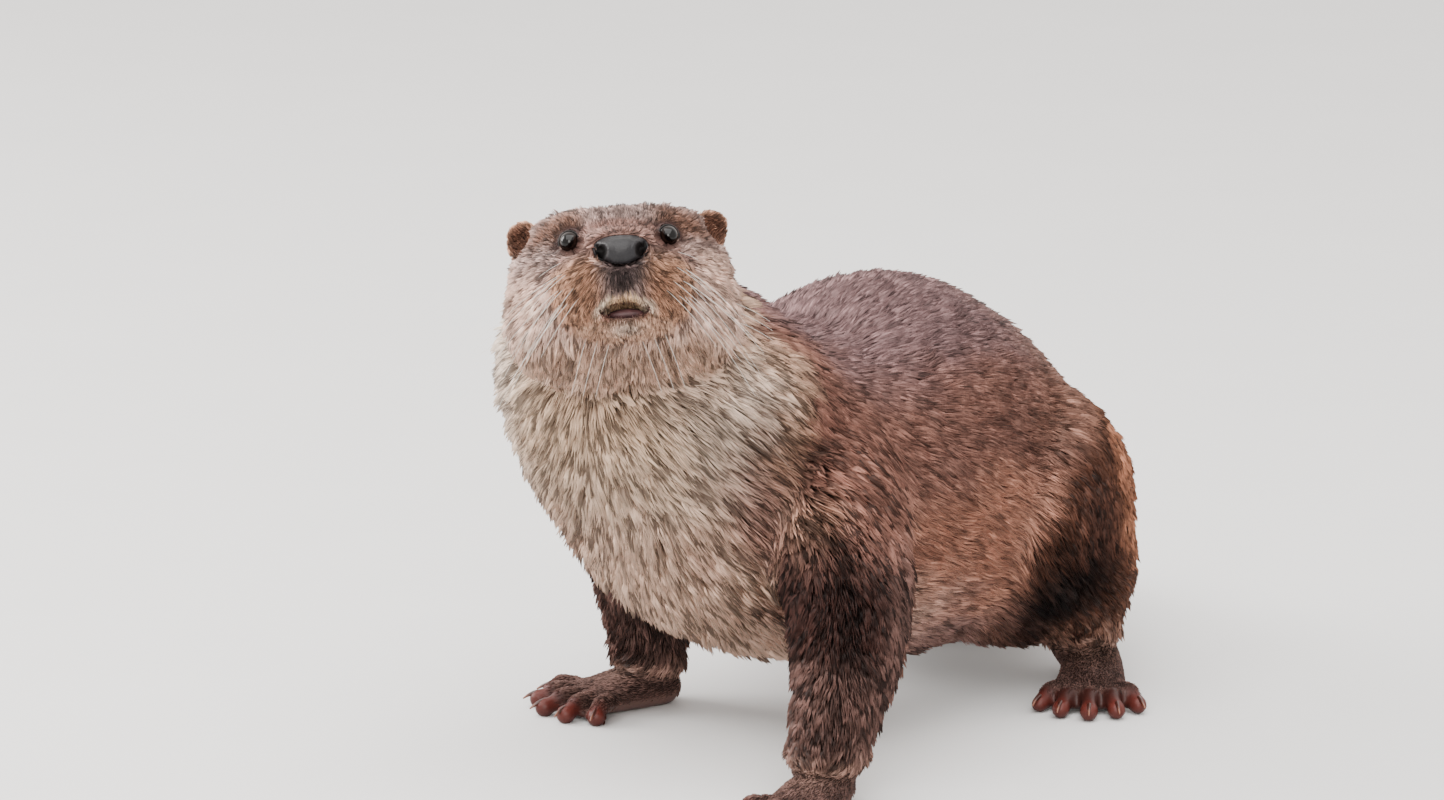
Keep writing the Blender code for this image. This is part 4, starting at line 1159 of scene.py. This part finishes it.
# pink darkened with painted shade of the mouth, in soft blotches
tones = all_over("#3a2526", len(tongue_points)) * blotches[:, None]
finished(tongue, damp_skin, None, tones)

# ---------------------------------------------------------------- the claws
# Short blunt claws of thin orange-brown horn, paler at the point. One grows out of the top of each toe, in
# line with it, and curves down over its tip.

CLAW_LENGTH = 0.0085
CLAW_RADIUS = 0.0015
# horn: growth lines give it a faint grain, drawn 1.2 mm apart, coarser than they are, so that it shows; its
# smooth face gives a small sharp glint
GROWTH_LINES = 0.0012
horn, tree, shader = nodes_of("claw_horn", {"Roughness": 0.28, "IOR": 1.54})
place = add_node(tree, "ShaderNodeTexCoord").outputs["Object"]
line = add_node(tree, "ShaderNodeTexNoise", {"Vector": place, "Scale": 1 / GROWTH_LINES, "Detail": 3.0})
mottled(tree, shader, line.outputs["Fac"], 0.75, 1.25)
for name in FEET:
    radius = FEET[name][5]
    for index in range(5):
        _, toe_tip, toe_way = toe_line(name, index)
        start = toe_tip - toe_way * radius * 0.9 + UP * radius * 0.25
        rows = []
        for part in (0.0, 0.35, 0.7, 1.0):
            spot = start + toe_way * CLAW_LENGTH * part - UP * 0.0032 * part**2
            rows.append((*spot, CLAW_RADIUS * (1 - 0.72 * part), CLAW_RADIUS * 1.3 * (1 - 0.75 * part)))
        shape = tube(rows, first_side=(-toe_way.y, toe_way.x, 0), count=12, sides=14, dome=4)
        claw = new_object(f"horn_{name}_{index + 1}", *placed(shape, foot_frame(name)))
        out = (shape[0] - np.array(start)) @ np.array(toe_way) / CLAW_LENGTH
        tones = toward(all_over("#351a15", len(out)), "#6f4331", ease(out, 0.5, 1.0))
        finished(claw, horn, f"claw_{name}_{index + 1}", tones)


# ---------------------------------------------------------------- the coat
# Guard hairs in small pointed tufts, each a thin closed spike with a ridge, rooted in the hide and lying
# along the body. Short and fine on the face and feet, long on neck and breast, where wet tips gather into
# points.

# The hide unwrapped for the tufts' colours: limbs by turn and length, the head as a disc round the nose, and
# each foot and ear from its two faces. Left, bottom, width and height of each chart.
CHARTS = {
    "trunk": (0.01, 0.01, 0.47, 0.47),
    "head": (0.51, 0.01, 0.48, 0.48),
    "tail": (0.01, 0.50, 0.22, 0.30),
    "foreleg_left": (0.25, 0.50, 0.16, 0.22),
    "foreleg_right": (0.43, 0.50, 0.16, 0.22),
    "hindleg_left": (0.61, 0.50, 0.18, 0.24),
    "hindleg_right": (0.81, 0.50, 0.18, 0.24),
    "forefoot_left": (0.01, 0.82, 0.15, 0.17),
    "forefoot_right": (0.17, 0.82, 0.15, 0.17),
    "hindfoot_left": (0.33, 0.76, 0.20, 0.23),
    "hindfoot_right": (0.55, 0.76, 0.20, 0.23),
    "ear_left": (0.77, 0.78, 0.10, 0.10),
    "ear_right": (0.89, 0.78, 0.10, 0.10),
}
CHART_NAMES = list(CHARTS)


def unwrapped(points, charts, faces_up):
    """Where points stand in the unwrap; faces_up tells apart the two faces of a foot or an ear."""
    found = np.zeros((len(points), 2))
    for index, name in enumerate(CHART_NAMES):
        chosen = np.flatnonzero(charts == index)
        if not len(chosen):
            continue
        left, bottom, wide, tall = CHARTS[name]
        here, front = points[chosen], faces_up[chosen]
        if name in limbs:
            _, length, above, beside, _ = limbs[name].measure(here)
            turn = np.arctan2(beside, above) / (2 * math.pi)
            flat = np.stack([0.5 + turn, np.clip(length, -0.02, 1.02)], axis=1)
        elif name == "head":
            local = moved(here, HEAD.inverted()) + (0, 0.030, 0)
            polar = np.arccos(np.clip(-local[:, 1] / np.linalg.norm(local, axis=1), -1, 1)) / math.pi
            turn = np.arctan2(local[:, 2], local[:, 0])
            flat = 0.5 + 0.5 * polar[:, None] * np.stack([np.cos(turn), np.sin(turn)], axis=1)
        elif name in FEET:
            local = moved(here, foot_frame(name).inverted())
            beside = (local[:, 0] + 0.045) / 0.18 + 0.5 * front
            flat = np.stack([beside, (0.012 - local[:, 1]) / 0.125], axis=1)
        else:
            local = moved(here, ear_frame(1 if name == "ear_left" else -1).inverted())
            beside = (local[:, 0] + 0.012) / 0.048 + 0.5 * front
            flat = np.stack([beside, (local[:, 2] + 0.014) / 0.03], axis=1)
        found[chosen] = (left, bottom) + flat * (wide, tall)
    return found


chart = np.array([CHART_NAMES.index(name) for name in [*LIMBS, "head"]])[weights.argmax(axis=1)]
for name in FEET:
    local = moved(points, foot_frame(name).inverted())
    inside = (np.abs(local[:, 0]) < 0.044) & (local[:, 2] < 0.030)
    inside &= (local[:, 1] > -0.11) & (local[:, 1] < 0.026)
    chart[inside & (on_tail < 0.5)] = CHART_NAMES.index(name)
for name, local in zip(("ear_left", "ear_right"), ear_local):
    reach = np.linalg.norm(local * (1, 1.3, 1), axis=1)
    chart[(reach < 0.0135) & (local[:, 2] > -0.0070)] = CHART_NAMES.index(name)
face_chart = chart[faces[:, 0]]
corners = points[faces]
face_normals = np.cross(corners[:, 1] - corners[:, 0], corners[:, 2] - corners[:, 0])
face_area = np.linalg.norm(face_normals, axis=1) / 2
face_up = face_normals[:, 2] > 0
for side, name in ((1, "ear_left"), (-1, "ear_right")):
    ahead = np.array(ear_frame(side).to_3x3() @ Vector((0, -1, 0)))
    there = face_chart == CHART_NAMES.index(name)
    face_up[there] = face_normals[there] @ ahead > 0
spread = unwrapped(corners.reshape(-1, 3), np.repeat(face_chart, 3), np.repeat(face_up, 3)).reshape(-1, 3, 2)
# a face across the line where a limb's chart closes keeps its three corners together
turn_wide = np.array([CHARTS[name][2] if name in limbs else 10.0 for name in CHART_NAMES])[face_chart]
for corner in (1, 2):
    jump = (spread[:, corner, 0] - spread[:, 0, 0]) / turn_wide
    spread[:, corner, 0] -= np.round(jump) * turn_wide
hide.data.uv_layers.new(name="OFBake").uv.foreach_set("vector", spread.astype(np.float32).ravel())

# one tuft's root for each share of the hide, in order over its faces
rng = np.random.default_rng(11)
wanted = face_area * 1e4 * (thick * (1 - bare))[faces].mean(axis=1)
total = np.cumsum(wanted)
count = int(total[-1])
root_face = np.searchsorted(total, np.arange(count) + rng.uniform(0, 1, count)).clip(0, len(faces) - 1)
mix = rng.uniform(0, 1, (count, 2))
mix = np.where(mix.sum(axis=1)[:, None] > 1, 1 - mix, mix)
mix = np.column_stack([1 - mix.sum(axis=1), mix])


def at_roots(values):
    """Values at the hide's points, read at each tuft's root."""
    return np.einsum("ij,ij...->i...", mix, values[faces[root_face]])


root = at_roots(points)
normal = unit(at_roots(normals))
direction = flattened(at_roots(lie), normal)
sideways = np.cross(normal, direction)
swing = 7.0 * rng.normal(size=count) + 9.0 * drift(root, 0.016, 21) + 5.0 * drift(root, 0.006, 22)
swing = np.radians(swing)
direction = direction * np.cos(swing)[:, None] + sideways * np.sin(swing)[:, None]
long = at_roots(tuft_long) * 1e-3 * np.clip(1 + 0.22 * rng.normal(size=count), 0.5, 1.6)
wide = at_roots(tuft_wide) * 1e-3 * np.clip(1 + 0.20 * rng.normal(size=count), 0.6, 1.5)
to_eye = np.minimum(*(distance(root, eye_frame(side).translation) for side in (1, -1)))
to_ear = np.minimum(*(distance(root, ear_frame(side).translation) for side in (1, -1)))
long *= np.where(at_roots(on_ear) > 0.5, 1, np.clip((to_ear - 0.009) / 0.009, 0.4, 1))
by_eye = np.clip((to_eye - EYE_RADIUS) / 0.0060, 0.25, 1)
long *= by_eye * np.clip(at_roots(lip) / 4, 0.35, 1)
high = by_eye * at_roots(tuft_high) * 1e-3 * np.clip(1 + 0.30 * rng.normal(size=count), 0.3, 1.9)
gathered, varied = at_roots(gather), at_roots(vary)
tuft_marks = at_roots(marks)

# Every few tufts lean towards one of them, so that their tips make a point with a dark gap beside it.
leaders = np.flatnonzero(rng.uniform(0, 1, count) < 1 / at_roots(lock))
tree = KDTree(len(leaders))
for index, leader in enumerate(leaders):
    tree.insert(root[leader], index)
tree.balance()
leader = leaders[np.array([tree.find(point)[1] for point in root.tolist()])]
free_tip = root + direction * long[:, None]
leader_tip = root[leader] + direction[leader] * (long[leader] * 1.12)[:, None]
pull = (gathered * rng.uniform(0.75, 1.1, count))[:, None]
pull *= np.exp(-((np.linalg.norm(leader_tip - free_tip, axis=1) / (0.6 * long)) ** 2))[:, None]
tip = free_tip + (leader_tip - free_tip) * pull
middle = root + (tip - root) * 0.5 + (direction * long[:, None] * 0.5 - (tip - root) * 0.5) * 0.45
high = high + (high[leader] * 1.15 - high) * gathered

# A tuft's middle and tip are laid over the curve of the body, at their heights above the hide.
over = BVHTree.FromPolygons(points.tolist(), faces.tolist())


def laid(places, heights):
    """The places brought to these heights above the nearest hide, and the hide's outward direction there."""
    found = [over.find_nearest(place) for place in places.tolist()]
    where = np.array([hit[0] for hit in found])
    out = np.array([hit[1] for hit in found])
    return where + out * heights[:, None], out


middle, middle_normal = laid(middle, high * 0.72)
tip, _ = laid(tip, high)
middle, tip = clear_of_eyes(middle, 0.0007), clear_of_eyes(tip, 0.0010)
sideways = unit(np.cross(normal, unit(middle - root)))
root = root - normal * 0.0004
half_wide = sideways * wide[:, None] * 0.5
ridge = middle + middle_normal * wide[:, None] * 0.4
blades = np.stack([root - half_wide, root + half_wide, ridge, tip], axis=1)
# on the floor the tufts are pressed flat, and none grows out of the faces that the body rests on
PRESSED, RESTING = 0.0003, 0.0012  # the lowest hair, and how high up no hair grows
blades[..., 2] = np.maximum(blades[..., 2], PRESSED)
off_floor = root[:, 2] > RESTING
TUFT_FACES = [(0, 3, 2), (3, 1, 2), (1, 0, 2), (0, 1, 3)]
TUFT_PATCH = np.array([(-1, -1), (1, -1), (0, 0), (0, 1)]) * 0.0015  # a tuft's own patch of the unwrap

# A tuft is dark brown wool at its root and paler at its tip. Tufts differ in tone, and so do whole locks.
tone = 1 + 0.5 * varied * np.clip(rng.normal(size=count), -2, 2)
tone = np.clip(tone + varied * rng.normal(size=count)[leader], 0.22, 2.0)
tuft_wool = at_roots(wool)
keel = tuft_wool + (tuft_marks * tone[:, None] - tuft_wool) * (0.82 - 0.30 * varied)[:, None]
tip_tone = (tone * (1.45 + 0.5 * varied))[:, None]
shades = np.stack([tuft_wool, tuft_wool, keel, tuft_marks * tip_tone], axis=1)
PALEST = 0.88  # no hair is paler than white keratin; paler tones are brought down to it in their own hue
shades *= np.minimum(1, PALEST / shades.max(axis=2))[..., None]
root_spread = unwrapped(root, face_chart[root_face], face_up[root_face])

# guard hair is keratin: dull from afar, with a soft low shine along it; its strands are drawn as a grain
# over each tuft, 0.6 mm apart, coarser than they are, so that they show
STRAND = 0.0006
shine = {"Roughness": 0.55, "IOR": 1.55, "Specular IOR Level": 0.12}
guard_hair, tree, shader = nodes_of("otter_guard_hair", shine)
place = add_node(tree, "ShaderNodeTexCoord").outputs["Object"]
grain = add_node(tree, "ShaderNodeTexNoise", {"Vector": place, "Scale": 1 / STRAND, "Detail": 2.0})
mottled(tree, shader, grain.outputs["Fac"], 0.70, 1.30)

# Each coat piece is a stretch of the body, in the order of the zones. A large one is made as left and right.
ONE_PIECE = 48000  # the fewest tufts at which a piece is made as two
COATS = {
    "coat_face": ("muzzle", "brow"),
    "coat_head": ("crown", "cheek", "ear"),
    "coat_neck": ("neck",),
    "coat_breast": ("breast",),
    "coat_back": ("back",),
    "coat_flank": ("flank",),
    "coat_legs": ("leg", "foot"),
    "coat_tail": ("tail",),
}
zone_of = zone.argmax(axis=1)[faces[root_face][:, 0]]
on_left = limbs["trunk"].measure(root)[3] > 0
halves = []
for name, zones in COATS.items():
    chosen = off_floor & np.isin(zone_of, [names.index(each) for each in zones])
    if chosen.sum() < ONE_PIECE:
        halves.append((name, np.flatnonzero(chosen)))
    else:
        halves.append((name + "_left", np.flatnonzero(chosen & on_left)))
        halves.append((name + "_right", np.flatnonzero(chosen & ~on_left)))
for name, chosen in halves:
    number = len(chosen)
    mesh = bpy.data.meshes.new(name)
    mesh.vertices.add(number * 4)
    mesh.vertices.foreach_set("co", blades[chosen].astype(np.float32).ravel())
    corner_points = (np.array(TUFT_FACES)[None] + np.arange(number)[:, None, None] * 4).reshape(-1)
    mesh.loops.add(len(corner_points))
    mesh.loops.foreach_set("vertex_index", corner_points.astype(np.int32))
    mesh.polygons.add(number * 4)
    mesh.polygons.foreach_set("loop_start", np.arange(0, number * 12, 3, dtype=np.int32))
    mesh.update(calc_edges=True)
    mesh.shade_smooth()
    colour_points(mesh, shades[chosen].reshape(-1, 3))
    patches = root_spread[chosen][:, None] + TUFT_PATCH[None]
    corner_places = patches.reshape(-1, 2)[corner_points].astype(np.float32)
    mesh.uv_layers.new(name="OFBake").uv.foreach_set("vector", corner_places.ravel())
    mesh.materials.append(guard_hair)
    coat = bpy.data.objects.new(name, mesh)
    bpy.context.scene.collection.objects.link(coat)
    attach(coat, "root")
    pale, dark = name.startswith(("coat_neck", "coat_breast")), name.startswith("coat_legs")

# ---------------------------------------------------------------- the whiskers
# Stiff white bristles, tapered and slightly drooping, rooted in rows in the whisker pads, with three more on
# each cheek and three on each side of the chin.

# root in the head's frame, way it points, length
WHISKERS = []
rng = np.random.default_rng(4)
for side in (1, -1):
    for row in range(4):
        for step in range(1 if row == 0 else 4):
            at = Vector((side * (0.0210 + 0.0028 * step), -0.0810 + 0.0050 * step, 0.0010 - 0.0058 * row))
            way = Vector((side * 1.0, 0.55 + 0.12 * step, -0.10 - 0.26 * row))
            way += Vector(rng.normal(size=3)) * 0.10
            WHISKERS.append((at, way, 0.022 + 0.004 * row + 0.009 * step + 0.012 * rng.uniform()))
    for step in range(3):
        at = Vector((side * 0.0540, -0.0200 + 0.004 * step, -0.0120 - 0.004 * step))
        WHISKERS.append((at, Vector((side * 1.0, 0.3, -0.25)), 0.026))
        at = Vector((side * (0.0080 + 0.0070 * step), -0.0560, -0.0380))
        WHISKERS.append((at, Vector((side * 0.4, 0.1, -1.0)), 0.028))
# bristle keratin: white to clear horn, smooth, so that each catches one thin line of light
bristle, tree, shader = nodes_of("white_bristle", {"Roughness": 0.32, "IOR": 1.55})
own = add_node(tree, "ShaderNodeVertexColor", layer_name="marks")
tree.links.new(own.outputs["Color"], shader.inputs["Base Color"])
BRISTLE_RADIUS = 0.00015  # at the root
strands, fade = [], []
for at, way, length in WHISKERS:
    start, hide_normal, _, _ = over.find_nearest(HEAD @ at)
    way = (HEAD.to_3x3() @ way).normalized()
    way = (way + hide_normal * max(0.0, 0.25 - way.dot(hide_normal))).normalized()
    rows = []
    for part in np.linspace(0, 1, 7):
        spot = start + way * length * (part - 0.04) - UP * length * 0.22 * part**2
        thick_here = BRISTLE_RADIUS * (1 - 0.7 * part)
        rows.append((*spot, thick_here, thick_here))
    strand = tube(rows, first_side=tuple(way.cross(UP).normalized()), count=9, sides=5, dome=1)
    strands.append(strand)
    fade.append(np.linspace(0.35, 1.0, len(strand[0])))
whiskers = new_object("whiskers", *joined(strands))
tones = linear("#efe8e0")[None] * np.concatenate(fade)[:, None]
finished(whiskers, bristle, None, tones)


# ---------------------------------------------------------------- floor, light and camera
# A plain pale floor of matt paint, and the soft even light of a studio: a pale sky and three wide lit
# cloths, one overhead, one at the side and one in front.

floor = new_object("floor", [(-6, -6, 0), (6, -6, 0), (6, 6, 0), (-6, 6, 0)], [(0, 1, 2, 3)])
# matt floor paint: no shine, and very faint clouds of tone, 9 to a metre, so that it isn't dead flat
floor_paint, tree, shader = nodes_of("matt_floor_paint", {"Roughness": 0.8})
place = add_node(tree, "ShaderNodeTexCoord").outputs["Object"]
cloud = add_node(tree, "ShaderNodeTexNoise", {"Vector": place, "Scale": 9.0, "Detail": 3.0})
tint = add_node(tree, "ShaderNodeMapRange", {"Value": cloud.outputs["Fac"], "To Min": 0.58, "To Max": 0.61})
tree.links.new(tint.outputs["Result"], shader.inputs["Base Color"])
floor.data.materials.append(floor_paint)

world = bpy.data.worlds.new("studio")
world.use_nodes = True
world.node_tree.nodes["Background"].inputs["Color"].default_value = (1.0, 0.955, 0.915, 1)
world.node_tree.nodes["Background"].inputs["Strength"].default_value = 1.80
bpy.context.scene.world = world


def cloth_light(name, place, aim, size, power, colour):
    """A wide square light that shines from its place towards its aim."""
    light = bpy.data.lights.new(name, "AREA")
    light.shape, light.size, light.energy, light.color = "SQUARE", size, power, colour
    made = bpy.data.objects.new(name, light)
    made.location = place
    made.rotation_mode = "QUATERNION"
    made.rotation_quaternion = (Vector(aim) - Vector(place)).to_track_quat("-Z", "Y")
    bpy.context.scene.collection.objects.link(made)


cloth_light("overhead", (0.4, -0.8, 2.6), (0.0, 0.0, 0.1), 3.2, 160, (1.0, 0.98, 0.96))
cloth_light("side", (-2.7, -1.0, 1.4), (0.05, -0.2, 0.2), 2.0, 170, (1.0, 0.97, 0.94))
cloth_light("front", (1.8, -2.9, 1.5), (0.0, -0.1, 0.2), 1.8, 90, (1.0, 0.96, 0.92))

AZIMUTH, ELEVATION, DISTANCE = math.radians(35.0), math.radians(13.0), 4.0
WIDTH, SENSOR, SCALE = 1444, 36.0, 1850.0  # width of the frame and of the sensor (mm), and scale per metre
target = Vector((0.0465, 0.0326, 0.228)) + STAND.translation
level_reach = math.cos(ELEVATION)
back = Vector((math.sin(AZIMUTH) * level_reach, -math.cos(AZIMUTH) * level_reach, math.sin(ELEVATION)))
camera_data = bpy.data.cameras.new("camera")
camera_data.sensor_width = SENSOR
camera_data.lens = DISTANCE * SCALE * SENSOR / WIDTH
camera = bpy.data.objects.new("camera", camera_data)
camera.location = target + back * DISTANCE
camera.rotation_mode = "QUATERNION"
camera.rotation_quaternion = (-back).to_track_quat("-Z", "Y")
bpy.context.scene.collection.objects.link(camera)
bpy.context.scene.camera = camera
